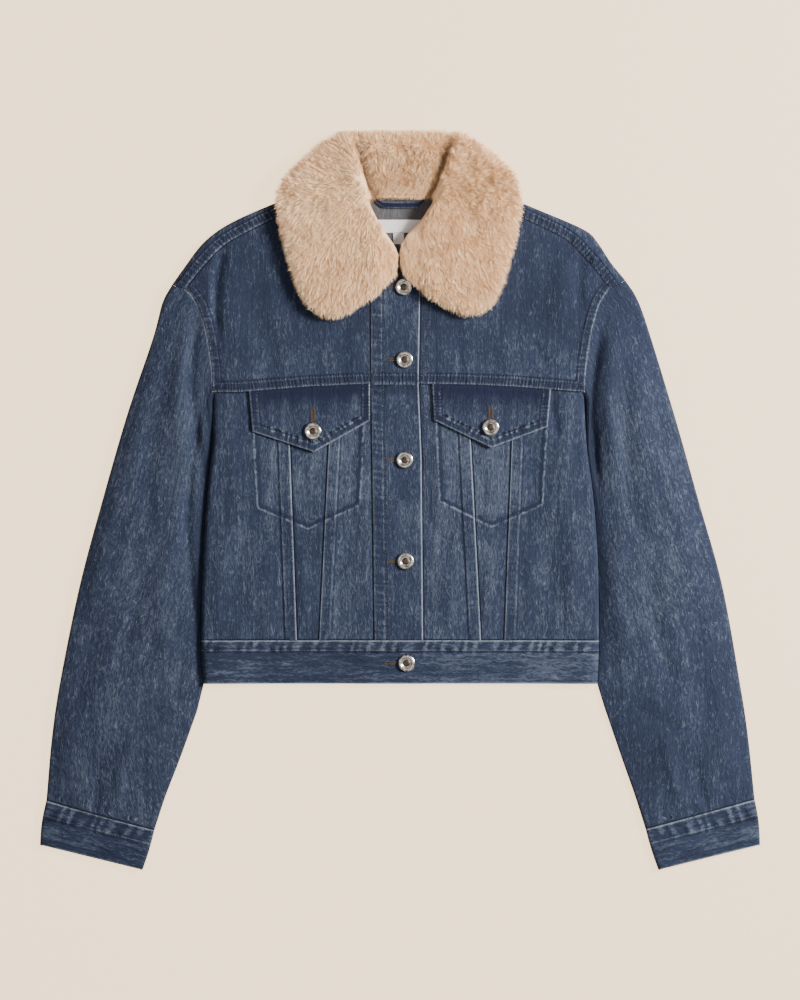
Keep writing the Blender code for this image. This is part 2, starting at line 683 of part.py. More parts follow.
def add_button(name, x, y, z):
    """A turned shank button with a raised rim and a sunk middle, seated at z."""
    tool = bmesh.new()
    rings = [[tool.verts.new((x + radius * math.cos(turn), y + radius * math.sin(turn), z + height))
              for turn in np.linspace(0, 2 * math.pi, BUTTON_SIDES, endpoint=False)]
             for radius, height in BUTTON_PROFILE]
    tool.faces.new(rings[0])
    tool.faces.new(rings[-1])
    for lower, upper in zip(rings, rings[1:]):
        for k in range(BUTTON_SIDES):
            after = (k + 1) % BUTTON_SIDES
            tool.faces.new((lower[k], lower[after], upper[after], upper[k]))
    add_object(name, tool, "nickel")


def add_buttons():
    """Five down the placket and waistband, and one on each flap."""
    on_placket = FRONT + DOUBLE + LAY
    on_band = BAND_HEIGHT + LAY + DOUBLE + LAY
    for number, (x, y) in enumerate(FRONT_BUTTONS, start=1):
        add_button(f"front_button_{number}", x, y, on_band if y < BAND_TOP else on_placket)
    for side, (x, y) in FLAP_BUTTONS.items():
        add_button(f"flap_button_{side}", x, y, FRONT + CLOTH + RIDGE + LAY + FLAP + LAY)


def main():
    for item in list(bpy.data.objects):
        bpy.data.objects.remove(item, do_unlink=True)
    add_back_panel()
    add_back_yoke()
    for side in ("right", "left"):
        add_front_yoke(side)
        add_sleeve(side)
    add_fronts()
    add_placket()
    add_pockets()
    add_waistband()
    add_collar()
    add_neck_trims()
    add_buttons()


main()
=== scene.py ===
"""Looks of a washed denim trucker jacket with a plush fur collar, laid flat with its front up.

Every cloth piece is a thin shell on its solid's form, with its creases, felled seams, worn fading and
painted shadow lines.
Stitches and pile follow the shells. Right and left are the wearer's, +X runs from the right
sleeve to the left one, and lengths are in millimetres until a mesh is made.
"""
import json
import logging
import math
from dataclasses import dataclass, field
from enum import Enum
from itertools import product
from typing import Iterable, Optional, Sequence

import bmesh
import bpy
import numpy as np
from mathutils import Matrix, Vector
from mathutils.bvhtree import BVHTree

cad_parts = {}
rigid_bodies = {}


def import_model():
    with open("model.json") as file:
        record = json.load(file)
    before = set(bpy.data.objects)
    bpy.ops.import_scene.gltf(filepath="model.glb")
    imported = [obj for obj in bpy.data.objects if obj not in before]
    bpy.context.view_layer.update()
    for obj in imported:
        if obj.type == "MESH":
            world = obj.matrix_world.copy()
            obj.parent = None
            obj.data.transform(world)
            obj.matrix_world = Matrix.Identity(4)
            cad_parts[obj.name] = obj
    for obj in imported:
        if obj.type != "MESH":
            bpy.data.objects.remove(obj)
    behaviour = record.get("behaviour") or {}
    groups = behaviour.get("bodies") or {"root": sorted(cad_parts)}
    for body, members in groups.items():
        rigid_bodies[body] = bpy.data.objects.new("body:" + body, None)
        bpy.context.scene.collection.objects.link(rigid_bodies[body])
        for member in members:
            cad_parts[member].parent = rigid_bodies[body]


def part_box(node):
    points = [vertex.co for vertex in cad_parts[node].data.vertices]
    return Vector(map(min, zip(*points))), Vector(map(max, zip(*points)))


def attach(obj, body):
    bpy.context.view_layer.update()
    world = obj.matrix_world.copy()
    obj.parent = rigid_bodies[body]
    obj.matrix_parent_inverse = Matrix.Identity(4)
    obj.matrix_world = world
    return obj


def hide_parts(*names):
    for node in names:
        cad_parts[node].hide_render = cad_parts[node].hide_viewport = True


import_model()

MM = 0.001
LOG = logging.getLogger("jacket")
LOOSE_TRIMS = ("hanger_loop_cloth",)
# distance written where no seam or pocket edge is near
FAR = 60.0

Line = np.ndarray
Grid = np.ndarray
Table = Sequence[Sequence[float]]


class Side(Enum):
    """The wearer's side, with the sign of its X."""

    RIGHT = -1
    LEFT = 1

    @property
    def tag(self) -> str:
        """The side's name in node names."""
        return self.name.lower()


# --- lines and grids in plan ---------------------------------------------------------------


def run_of(points: np.ndarray, axis: int = 0) -> np.ndarray:
    """How far along its line each place is, for one line or for every row of a grid."""
    steps = np.linalg.norm(np.diff(points, axis=axis), axis=-1)
    start = np.zeros_like(np.take(steps, [0], axis=axis))
    return np.concatenate((start, np.cumsum(steps, axis=axis)), axis=axis)


def resample(line: Line, shares: np.ndarray) -> Line:
    """Places at shares of a line's length.

    Args:
        line: Many points, in order.
        shares: Places from 0 to 1.

    Returns:
        One point for each share.
    """
    run = run_of(line)
    return np.column_stack([np.interp(shares * run[-1], run, line[:, k])
                            for k in range(line.shape[1])])


def smooth_line(points: Table, count: int = 120) -> Line:
    """A smooth curve through a few points, as count + 1 evenly spaced places."""
    knots = np.array(points, dtype=float)
    knots = np.vstack((2 * knots[0] - knots[1], knots, 2 * knots[-1] - knots[-2]))
    t = np.linspace(0, 1, 24, endpoint=False)[:, None]
    dense = []
    for i in range(1, len(knots) - 2):
        before, start, end, after = knots[i - 1:i + 3]
        dense.append(0.5 * (2 * start + (end - before) * t
                            + (2 * before - 5 * start + 4 * end - after) * t ** 2
                            + (3 * start - 3 * end + after - before) * t ** 3))
    dense.append(knots[-2:-1])
    return resample(np.vstack(dense), np.linspace(0, 1, count + 1))


def straight(start: Sequence[float], end: Sequence[float], count: int = 40) -> Line:
    """count + 1 evenly spaced places between two points."""
    return np.linspace(np.array(start, dtype=float), np.array(end, dtype=float), count + 1)


def normals(line: Line) -> Line:
    """Unit normals to the right of a line's direction."""
    along = np.gradient(line, axis=0)
    along /= np.maximum(np.linalg.norm(along, axis=1), 1e-9)[:, None]
    return np.column_stack((along[:, 1], -along[:, 0]))


def length_of(line: Line) -> float:
    """The length of a line."""
    return float(np.linalg.norm(np.diff(line, axis=0), axis=1).sum())


def spread(length: float, start: bool, end: bool, step: float) -> np.ndarray:
    """Shares along a length that crowd near the ends that carry a seam.

    Args:
        length: The whole length.
        start: Whether the first end is crowded.
        end: Whether the last end is crowded.
        step: Spacing away from the ends.

    Returns:
        Rising shares from 0 to 1.
    """
    fine = [0.0, 0.5, 1.1, 2.0, 3.4, 5.0, 6.6, 8.2, 9.6, 10.6, 11.4, 12.4, 14.2]
    fine = [value for value in fine if value < length * 0.45]
    head = fine if start else [0.0]
    tail = [length - value for value in fine[::-1]] if end else [length]
    count = max(1, int(round((tail[0] - head[-1]) / step)))
    middle = np.linspace(head[-1], tail[0], count + 1)[1:-1]
    return np.array(head + list(middle) + tail) / length


def patch(bottom: Line, top: Line, left: Line, right: Line, u: np.ndarray,
          v: np.ndarray) -> Grid:
    """A grid of places that meets four edge lines.

    Args:
        bottom: First row, from left to right.
        top: Last row.
        left: First column, from bottom to top.
        right: Last column.
        u: Shares of the columns.
        v: Shares of the rows.

    Returns:
        Rows by columns by 2.
    """
    low, high = resample(bottom, u)[None], resample(top, u)[None]
    first, last = resample(left, v)[:, None], resample(right, v)[:, None]
    across, up = u[None, :, None], v[:, None, None]
    corners = ((1 - across) * (1 - up) * bottom[0] + across * (1 - up) * bottom[-1]
               + (1 - across) * up * top[0] + across * up * top[-1])
    return (1 - up) * low + up * high + (1 - across) * first + across * last - corners


def nearest(places: Grid, line: Line) -> tuple[np.ndarray, np.ndarray]:
    """Distance from places to a line, and how far along it the nearest spot is."""
    flat = places.reshape(-1, 2)
    best = np.full(len(flat), 1e9)
    run = np.zeros(len(flat))
    passed = 0.0
    for start, end in zip(line, line[1:]):
        step = end - start
        size = max(float(np.hypot(*step)), 1e-9)
        share = np.clip(((flat - start) @ step) / size ** 2, 0, 1)
        gap = np.linalg.norm(flat - start - share[:, None] * step, axis=1)
        closer = gap < best
        best = np.where(closer, gap, best)
        run = np.where(closer, passed + share * size, run)
        passed += size
    return best.reshape(places.shape[:2]), run.reshape(places.shape[:2])


def ease(value: np.ndarray, low: float, high: float) -> np.ndarray:
    """A soft step from 0 at low to 1 at high."""
    share = np.clip((value - low) / (high - low), 0, 1)
    return share * share * (3 - 2 * share)


def waves(run: np.ndarray, pitch: float, seed: float) -> tuple[np.ndarray, np.ndarray]:
    """Uneven ripples along a seam, between -1 and 1, and their phase."""
    turn = run * 2 * math.pi / pitch
    phase = turn + 1.8 * np.sin(turn / 7.3 + seed) + 1.3 * np.sin(turn / 3.1 + 2.7 * seed)
    return np.sin(phase) * (0.65 + 0.35 * np.sin(turn / 4.7 + 1.9 * seed)), phase


# --- the jacket's measures -------------------------------------------------------------------


@dataclass(frozen=True)
class Cut:
    """Sizes and outlines that all the pieces share, as in the solids."""

    cloth: float = 1.2
    double: float = 2.4
    flap: float = 2.0
    cuff: float = 2.2
    gap: float = 0.1
    lay: float = 0.3
    front: float = 4.3
    hem: float = -192.5
    band_top: float = -147.0
    chest: float = 113.0
    neck_top: float = 255.0
    back_neck: float = 318.0
    # y, right x, left x
    side: Table = ((113.0, -196.0, 193.0), (60.0, -196.5, 195.5), (0.0, -202.5, 203.0),
                   (-65.0, -206.5, 207.5), (-147.0, -208.5, 208.5), (-192.5, -206.0, 207.0))
    # right x, left x, y
    arm: Table = ((-196.0, 193.0, 113.0), (-196.5, 194.5, 135.0), (-199.5, 197.5, 158.0),
                  (-204.0, 202.0, 182.0), (-212.0, 209.0, 205.0), (-225.0, 219.0, 221.0))
    # y, sewn edge x, free edge x
    placket: Table = ((255.0, -31.0, 22.0), (121.0, -30.5, 19.5), (43.0, -29.4, 22.7),
                      (-147.0, -26.8, 24.2))
    # x, y
    chest_seam: Table = ((-197.0, 113.0), (-168.0, 113.0), (-96.0, 119.0), (-30.0, 122.0),
                         (20.0, 122.0), (74.0, 121.0), (116.0, 119.0), (193.0, 113.0))

    def side_x(self, side: Side, y: np.ndarray) -> np.ndarray:
        """Place of the body's side fold at y."""
        column = 1 if side is Side.RIGHT else 2
        line = smooth_line([(row[column], row[0]) for row in self.side[::-1]])
        return np.interp(y, line[:, 1], line[:, 0])

    def side_line(self, side: Side, low: float, high: float, outset: float = 0.0) -> Line:
        """The side fold from low to high, moved away from the body by outset."""
        ys = np.linspace(low, high, 80)
        return np.column_stack((self.side_x(side, ys) + side.value * outset, ys))

    def chest_y(self, x: np.ndarray) -> np.ndarray:
        """Height of the chest seam at x."""
        xs, ys = zip(*self.chest_seam)
        return np.interp(x, xs, ys)

    def chest_line(self, start: float, end: float, shift: float) -> Line:
        """The chest seam between two places, moved up by shift."""
        xs = np.linspace(start, end, 60)
        return np.column_stack((xs, self.chest_y(xs) + shift))

    def placket_x(self, y: np.ndarray, edge: int) -> np.ndarray:
        """Place of the placket's sewn edge (1) or free edge (2) at y."""
        rows = self.placket[::-1]
        return np.interp(y, [row[0] for row in rows], [row[edge] for row in rows])

    def placket_line(self, edge: int, low: float, high: float, shift: float) -> Line:
        """One edge of the placket between two heights, moved along X by shift."""
        ys = np.linspace(low, high, 60)
        return np.column_stack((self.placket_x(ys, edge) + shift, ys))

    def armhole(self, side: Side, outset: float) -> Line:
        """The armhole seam from the underarm to the shoulder, moved away from the body."""
        column = 0 if side is Side.RIGHT else 1
        line = smooth_line([(row[column], row[2]) for row in self.arm])
        return line + normals(line) * side.value * outset


@dataclass(frozen=True)
class Crease:
    """A soft trough (negative height) or ridge between two places."""

    x0: float
    y0: float
    x1: float
    y1: float
    width: float
    height: float

    def relief(self, x: np.ndarray, y: np.ndarray) -> np.ndarray:
        """Height that the crease adds at each place."""
        dx, dy = self.x1 - self.x0, self.y1 - self.y0
        size = math.hypot(dx, dy)
        along = ((x - self.x0) * dx + (y - self.y0) * dy) / size ** 2
        bow = 0.06 * size * np.sin(np.clip(along, 0, 1) * math.pi)
        off = ((x - self.x0) * dy - (y - self.y0) * dx) / size - bow
        fade = np.exp(-(np.clip(abs(along - 0.5) - 0.28, 0, None) / 0.17) ** 2)
        return self.height * np.exp(-(off / self.width) ** 2) * fade


def relief(creases: Iterable[Crease], x: np.ndarray, y: np.ndarray) -> np.ndarray:
    """What a group of creases adds at each place."""
    total = np.zeros_like(x, dtype=float)
    for crease in creases:
        total = total + crease.relief(x, y)
    return total


@dataclass(frozen=True)
class Drape:
    """How high the front layer lies over the back, with its creases."""

    cut: Cut = Cut()
    side_lift: float = 5.0
    middle_lift: float = 0.5
    # x0, y0, x1, y1, width, height
    creases: tuple[Crease, ...] = (
        Crease(-183, 272, -190, 168, 4.5, -3.2),
        Crease(-200, 236, -192, 196, 4.0, 0.9),
        Crease(-166, 262, -172, 172, 11, 1.2),
        Crease(-148, 250, -140, 150, 8, -0.7),
        Crease(-113, 180, -118, 128, 9, 0.8),
        Crease(-62, 190, -56, 130, 7, -0.6),
        Crease(192, 262, 190, 196, 5.5, -1.8),
        Crease(174, 260, 172, 170, 10, 1.0),
        Crease(138, 168, 158, 138, 5, -1.1),
        Crease(112, 190, 118, 128, 9, 0.7),
        Crease(60, 190, 66, 130, 8, -0.6),
        Crease(160, 116, 167, 62, 4, -1.3),
        Crease(178, 80, 172, -30, 10, 1.0),
        Crease(20, 6, 52, -52, 8, -1.2),
        Crease(50, -50, 58, -140, 9, 0.8),
        Crease(160, -20, 168, -130, 10, -0.9),
        Crease(188, -30, 184, -140, 7, 1.1),
        Crease(-176, 86, -170, 0, 9, 0.9),
        Crease(-160, -20, -166, -130, 10, -0.9),
        Crease(-184, -40, -190, -140, 7, 1.0),
        Crease(-48, -20, -52, -120, 8, -0.7),
        Crease(-96, -50, -97, -140, 8, 0.8),
        Crease(97, -50, 98, -140, 8, 0.8),
        Crease(-140, -60, -132, -144, 6, 0.7),
        Crease(140, -50, 134, -144, 6, 0.7),
    )

    def under(self, x: np.ndarray, y: np.ndarray) -> np.ndarray:
        """Underside of the front layer."""
        x, y = np.asarray(x, dtype=float), np.asarray(y, dtype=float)
        edge = np.where(x < 0, -self.cut.side_x(Side.RIGHT, y), self.cut.side_x(Side.LEFT, y))
        edge = np.where(y > 150, edge + (y - 150) * 0.32, edge)
        inside = np.clip(edge - abs(x), 0, None)
        lift = self.middle_lift + self.side_lift * np.exp(-(np.clip(inside - 14, 0, None) / 42) ** 2)
        lift = lift * (1 - 0.65 * ease(y, 190, 300))
        return np.maximum(self.cut.front + lift + 1.3 * relief(self.creases, x, y), 2.2)


# --- cloth meshes -----------------------------------------------------------------------------


def placed(name: str, data: bpy.types.ID) -> bpy.types.Object:
    """A new object in the scene, at the origin."""
    item = bpy.data.objects.new(name, data)
    bpy.context.collection.objects.link(item)
    return item


def belong(piece: bpy.types.Object, slot: str, nodes: Sequence[str] = ()) -> None:
    """Fixes a piece to the body and hides the solids that it stands for."""
    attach(piece, "root")
    if nodes:
        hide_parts(*nodes)
    LOG.info("%s: %d faces", piece.name, len(piece.data.polygons))


def store(mesh: bpy.types.Mesh, name: str, values: np.ndarray) -> None:
    """Keeps a number or a vector for each point of a mesh."""
    values = np.asarray(values, dtype=np.float32)
    kind, key = ("FLOAT", "value") if values.ndim == 1 else ("FLOAT_VECTOR", "vector")
    mesh.attributes.new(name, kind, "POINT").data.foreach_set(key, values.ravel())


@dataclass(frozen=True)
class Seam:
    """A sewn or folded edge and how it shows on the cloth beside it.

    line is the edge and width the felled width (0 for a plain edge). wear is the
    strength of its faded line when positive, and of a painted shadow line along the edge when
    negative. ridge is the extra thickness of the felled width, and pucker its ripples of that
    pitch, which ticks and dots colour. tint is the felled width's own shade.
    """

    line: Line
    width: float = 0.0
    wear: float = 0.6
    ridge: float = 0.0
    pucker: float = 0.0
    pitch: float = 5.2
    ticks: float = 0.0
    dots: float = 0.0
    tint: float = 0.0


@dataclass
class Marks:
    """What the seams leave at each place of a grid."""

    distance: np.ndarray
    phase: np.ndarray
    width: np.ndarray
    wear: np.ndarray
    ticks: np.ndarray
    dots: np.ndarray
    height: np.ndarray
    tint: np.ndarray
    print: np.ndarray

    @classmethod
    def read(cls, plan: Grid, seams: Sequence[Seam] = ()) -> "Marks":
        """Measures a plan grid against its seams."""
        shape = plan.shape[:2]
        found = cls(*(np.zeros(shape) for _ in range(9)))
        found.distance += FAR
        found.print += FAR
        for number, seam in enumerate(seams):
            distance, run = nearest(plan, seam.line)
            found.lay(distance, run, seam, distance - seam.width * 0.5
                      < found.distance - found.width * 0.5, number)
        return found

    def lay(self, distance: np.ndarray, run: np.ndarray, seam: Seam, where: np.ndarray,
            number: int = 0) -> None:
        """Writes one seam over the places where it is the nearest.

        Args:
            distance: How far each place is from the seam's edge.
            run: How far along the seam it is.
            seam: The seam.
            where: The places to write.
            number: Sets its ripples apart from another seam's.
        """
        ripple, phase = waves(run, seam.pitch, 1.0 + number)
        for name, value in (("distance", distance), ("phase", phase + 40.0 * number),
                            ("width", seam.width), ("wear", seam.wear), ("ticks", seam.ticks),
                            ("dots", seam.dots)):
            setattr(self, name, np.where(where, value, getattr(self, name)))
        if seam.width:
            band = 1 - ease(distance, seam.width - 0.3, seam.width + 0.9)
            self.height = np.maximum(self.height, seam.ridge * band)
            self.height += seam.pucker * ripple * np.exp(
                -((distance - seam.width * 0.6) / (seam.width * 0.6)) ** 2)
            self.tint = self.tint + seam.tint * band


def rounded(distance: np.ndarray, reach: float = 1.1) -> np.ndarray:
    """Share of full thickness left near a cut edge, which is rounded off."""
    share = np.clip(distance / reach, 0, 1)
    return 0.45 + 0.55 * np.sqrt(1 - (1 - share) ** 2)


@dataclass
class Cloth:
    """One cut piece as a closed wall between two grids of points."""

    name: str
    nodes: tuple[str, ...]
    inner: Grid
    outer: Grid
    grain: Grid
    marks: Marks
    wash: np.ndarray
    materials: tuple[bpy.types.Material, bpy.types.Material]
    wrap: bool = False
    cells: Optional[np.ndarray] = None
    rests_on: tuple[str, ...] = ()
    slot: str = "denim"
    trims: tuple[str, ...] = ()

    def build(self) -> bpy.types.Object:
        """Makes the mesh, with its grain as UVs and its seams as attributes.

        Returns:
            The object, riding on the body.
        """
        rows, columns = self.inner.shape[:2]
        across = columns if self.wrap else columns - 1
        kept = np.ones((rows - 1, across), dtype=bool) if self.cells is None else self.cells
        index = np.arange(rows * columns).reshape(rows, columns)
        i, j = np.nonzero(kept)
        right = (j + 1) % columns
        quads = np.column_stack((index[i, j], index[i, right], index[i + 1, right],
                                 index[i + 1, j]))
        size = rows * columns
        walls = self._walls(kept, index)
        faces = np.vstack((quads + size, quads[:, ::-1], walls))
        skins = np.concatenate((np.ones(len(quads)), np.zeros(len(quads)), np.ones(len(walls))))
        points = np.vstack((self.inner.reshape(-1, 3), self.outer.reshape(-1, 3))) * MM
        used, inverse = np.unique(faces, return_inverse=True)
        mesh = bpy.data.meshes.new(self.name)
        mesh.from_pydata(points[used].tolist(), [], inverse.reshape(-1, 4).tolist())
        for material in self.materials:
            mesh.materials.append(material)
        mesh.polygons.foreach_set("material_index", (1 - skins).astype(np.int32))
        self._paint(mesh, used)
        tidy = bmesh.new()
        tidy.from_mesh(mesh)
        bmesh.ops.recalc_face_normals(tidy, faces=tidy.faces)
        tidy.to_mesh(mesh)
        tidy.free()
        mesh.shade_smooth()
        mesh.set_sharp_from_angle(angle=math.radians(50))
        piece = placed(self.name, mesh)
        belong(piece, self.slot, self.nodes)
        if self.name not in LOOSE_TRIMS:
            self._declare()
        return piece

    def _walls(self, kept: np.ndarray, index: np.ndarray) -> np.ndarray:
        """The faces that close the wall along its edges."""
        rows, columns = index.shape
        size = rows * columns
        made = []
        for di, dj, ends in ((-1, 0, ((0, 0), (0, 1))), (1, 0, ((1, 1), (1, 0))),
                             (0, -1, ((1, 0), (0, 0))), (0, 1, ((0, 1), (1, 1)))):
            if self.wrap and dj:
                beside = np.roll(kept, -dj, axis=1)
            else:
                padded = np.pad(kept, 1)
                beside = padded[1 + di:1 + di + kept.shape[0], 1 + dj:1 + dj + kept.shape[1]]
            i, j = np.nonzero(kept & ~beside)
            (a, b), (c, d) = ends
            start = index[i + a, (j + b) % columns]
            end = index[i + c, (j + d) % columns]
            made.append(np.column_stack((start, end, end + size, start + size)))
        return np.vstack(made)

    def _paint(self, mesh: bpy.types.Mesh, used: np.ndarray) -> None:
        """Stores the grain, the seams and the wash, with any painted shade, on the mesh."""
        places = self.inner.shape[0] * self.inner.shape[1]

        def both_skins(*values: np.ndarray) -> np.ndarray:
            """The same values for the inner and the outer points."""
            flat = np.dstack(values).reshape(places, -1)
            return np.vstack((flat, flat))[used].astype(np.float32)

        corner = np.empty(len(mesh.loops), dtype=np.int32)
        mesh.loops.foreach_get("vertex_index", corner)
        layer = mesh.uv_layers.new(name="grain")
        layer.data.foreach_set("uv", both_skins(self.grain * MM)[corner].ravel())
        marks, wash = self.marks, self.wash[..., 0] + self.marks.tint
        for name, values in (
                ("seam", (marks.distance * MM, marks.phase, marks.width * MM)),
                ("rope", (marks.ticks, marks.dots, marks.print * MM)),
                ("look", (marks.wear, wash, self.wash[..., 1]))):
            store(mesh, name, both_skins(*values))

    def _declare(self) -> None:
        """Measures the steps along the piece's rows and columns and looks up its trims, keeping
        neither.
        """
        middle = (self.inner + self.outer) / 2 * MM
        if self.wrap:
            middle = np.concatenate((middle, middle[:, :1]), axis=1)
        steps_u = np.linalg.norm(np.diff(middle, axis=1), axis=2)
        steps_v = np.linalg.norm(np.diff(middle, axis=0), axis=2)
        if self.cells is not None:
            steps_u[1:][~self.cells] = 0
            steps_v[:, 1:][~self.cells] = 0
        list(self.rests_on)
        [bpy.data.objects[trim] for trim in self.trims]


def puckered_allowance(run: np.ndarray, away: np.ndarray, width: float) -> np.ndarray:
    """Height of the puckers that a band's inner allowance pushes up beside its seam.

    Args:
        run: How far along the band each place is.
        away: Its distance from the band's top seam.
        width: The allowance's width.

    Returns:
        The height to add.
    """
    crease = away - width - 1.5 * waves(run, 31.0, 0.4)[0]
    swing = waves(run, 12.5, 1.0)[0]
    hump = np.exp(-((crease + 3.2) / 3.4) ** 2)
    ledge = np.exp(-((crease - 1.0) / 1.7) ** 2)
    wrinkle = 0.3 * waves(run * 0.35 + away * 1.6, 7.0, 2.3)[0] * ease(away, width, width + 8)
    return (0.55 + 0.5 * swing) * hump * 1.4 - (0.5 + 0.3 * swing) * ledge + wrinkle


def banded_marks(away: np.ndarray, run: np.ndarray, length: float, width: float) -> Marks:
    """Marks of a folded band, sewn along its top and folded or hemmed along its foot."""
    marks = Marks.read(np.dstack((away, run)))
    marks.lay(away, run, Seam(away, width, 1.15, 0.0, 0.0, 12.5, ticks=0.4, dots=0.3),
              away < length * 0.75)
    marks.lay(length - away, run, Seam(away, 0.0, 0.8, pitch=9.0), away >= length * 0.75)
    return marks


def lift(plan: Grid, height: np.ndarray | float) -> Grid:
    """A plan grid raised to a height."""
    return np.dstack((plan, np.broadcast_to(height, plan.shape[:2])))


def roll(edge: Line, outward: Line, angles: Sequence[float], radius: np.ndarray,
         thickness: float) -> tuple[Grid, Grid]:
    """Columns round a folded edge, from the bottom of the roll (-90 degrees) to its top (90).

    Args:
        edge: The outermost places.
        outward: Unit normals there.
        angles: One column for each.
        radius: Outer radius at each place, which is also the height of the roll's axis.
        thickness: The wall.

    Returns:
        The inner and the outer points.
    """
    radius = np.broadcast_to(radius, (len(edge),))[:, None]
    axis = edge - outward * radius
    skins = []
    for reach in (radius - thickness, radius):
        columns = []
        for angle in np.radians(angles):
            columns.append(np.hstack((axis + outward * reach * math.cos(angle),
                                      radius + reach * math.sin(angle))))
        skins.append(np.stack(columns, axis=1))
    return skins[0], skins[1]


def tinted(shape: tuple[int, int], wash: np.ndarray | float, deep: np.ndarray | float) -> Grid:
    """A grid of the wash with any painted shade (0 neutral, 1 fully faded) and the unfaded indigo
    share.
    """
    return np.dstack((np.broadcast_to(wash, shape), np.broadcast_to(deep, shape)))


# --- node trees ---------------------------------------------------------------------------------

Socket = bpy.types.NodeSocket


class Graph:
    """Short ways to add and join the nodes of a tree."""

    def __init__(self, tree: bpy.types.NodeTree) -> None:
        """Keeps the tree."""
        self.tree = tree

    def add(self, kind: str, values: Optional[dict] = None, **settings: object) -> bpy.types.Node:
        """Adds a node.

        Args:
            kind: The node's type.
            values: A value or a socket for each input, by name or number.
            settings: The node's own properties.

        Returns:
            The node.
        """
        node = self.tree.nodes.new(kind)
        for key, value in settings.items():
            setattr(node, key, value)
        self.fill(node, values or {})
        return node

    def fill(self, node: bpy.types.Node, values: dict) -> None:
        """Sets or joins a node's inputs."""
        for key, value in values.items():
            if isinstance(value, Socket):
                self.tree.links.new(value, node.inputs[key])
            else:
                node.inputs[key].default_value = value

    def group(self, tree: bpy.types.NodeTree, values: dict) -> bpy.types.Node:
        """Places a group with its inputs set."""
        return self.add("ShaderNodeGroup", values, node_tree=tree)

    def math(self, operation: str, *values: object) -> Socket:
        """The result of a Math node."""
        node = self.add("ShaderNodeMath", dict(enumerate(values)), operation=operation)
        return node.outputs[0]

    def plus(self, first: object, second: object) -> Socket:
        """The sum of two values."""
        return self.math("ADD", first, second)

    def minus(self, first: object, second: object) -> Socket:
        """The first value less the second."""
        return self.math("SUBTRACT", first, second)

    def times(self, first: object, second: object) -> Socket:
        """The product of two values."""
        return self.math("MULTIPLY", first, second)

    def step(self, value: Socket, low: object, high: object, start: float = 0.0,
             end: float = 1.0) -> Socket:
        """A soft step of a value."""
        node = self.add("ShaderNodeMapRange", {"Value": value, "From Min": low, "From Max": high,
                                               "To Min": start, "To Max": end},
                        interpolation_type="SMOOTHSTEP")
        return node.outputs["Result"]

    def noise(self, vector: Socket, scale: float, detail: float = 2.0,
              roughness: float = 0.5) -> Socket:
        """Soft noise, about 0.5."""
        node = self.add("ShaderNodeTexNoise", {"Vector": vector, "Scale": scale,
                                               "Detail": detail, "Roughness": roughness})
        return node.outputs["Fac"]

    def stretch(self, vector: Socket, scale: tuple[float, float, float]) -> Socket:
        """A vector scaled along each axis."""
        node = self.add("ShaderNodeVectorMath", {0: vector, 1: scale}, operation="MULTIPLY")
        return node.outputs[0]

    def blend(self, share: object, first: object, second: object) -> Socket:
        """A mix of two colours."""
        node = self.add("ShaderNodeMix", {0: share, 6: first, 7: second}, data_type="RGBA")
        return node.outputs[2]

    def ramp(self, value: Socket, stops: Sequence[tuple[float, tuple[float, ...]]]) -> Socket:
        """A colour from a value, through a few stops."""
        node = self.add("ShaderNodeValToRGB", {0: value})
        while len(node.color_ramp.elements) < len(stops):
            node.color_ramp.elements.new(0.5)
        for element, (place, colour) in zip(node.color_ramp.elements, stops):
            element.position = place
            element.color = (*colour, 1.0)
        return node.outputs[0]


def shader_group(name: str, inputs: dict[str, str], outputs: Sequence[str]) -> tuple[
        bpy.types.NodeTree, Graph, bpy.types.Node, bpy.types.Node]:
    """An empty shader group with named sockets.

    Args:
        name: The group's name.
        inputs: The socket type of each input.
        outputs: Names of the value outputs.

    Returns:
        The tree, its graph, its input node and its output node.
    """
    tree = bpy.data.node_groups.new(name, "ShaderNodeTree")
    for key, kind in inputs.items():
        tree.interface.new_socket(key, in_out="INPUT", socket_type=kind)
    for key in outputs:
        tree.interface.new_socket(key, in_out="OUTPUT", socket_type="NodeSocketFloat")
    graph = Graph(tree)
    return tree, graph, graph.add("NodeGroupInput"), graph.add("NodeGroupOutput")


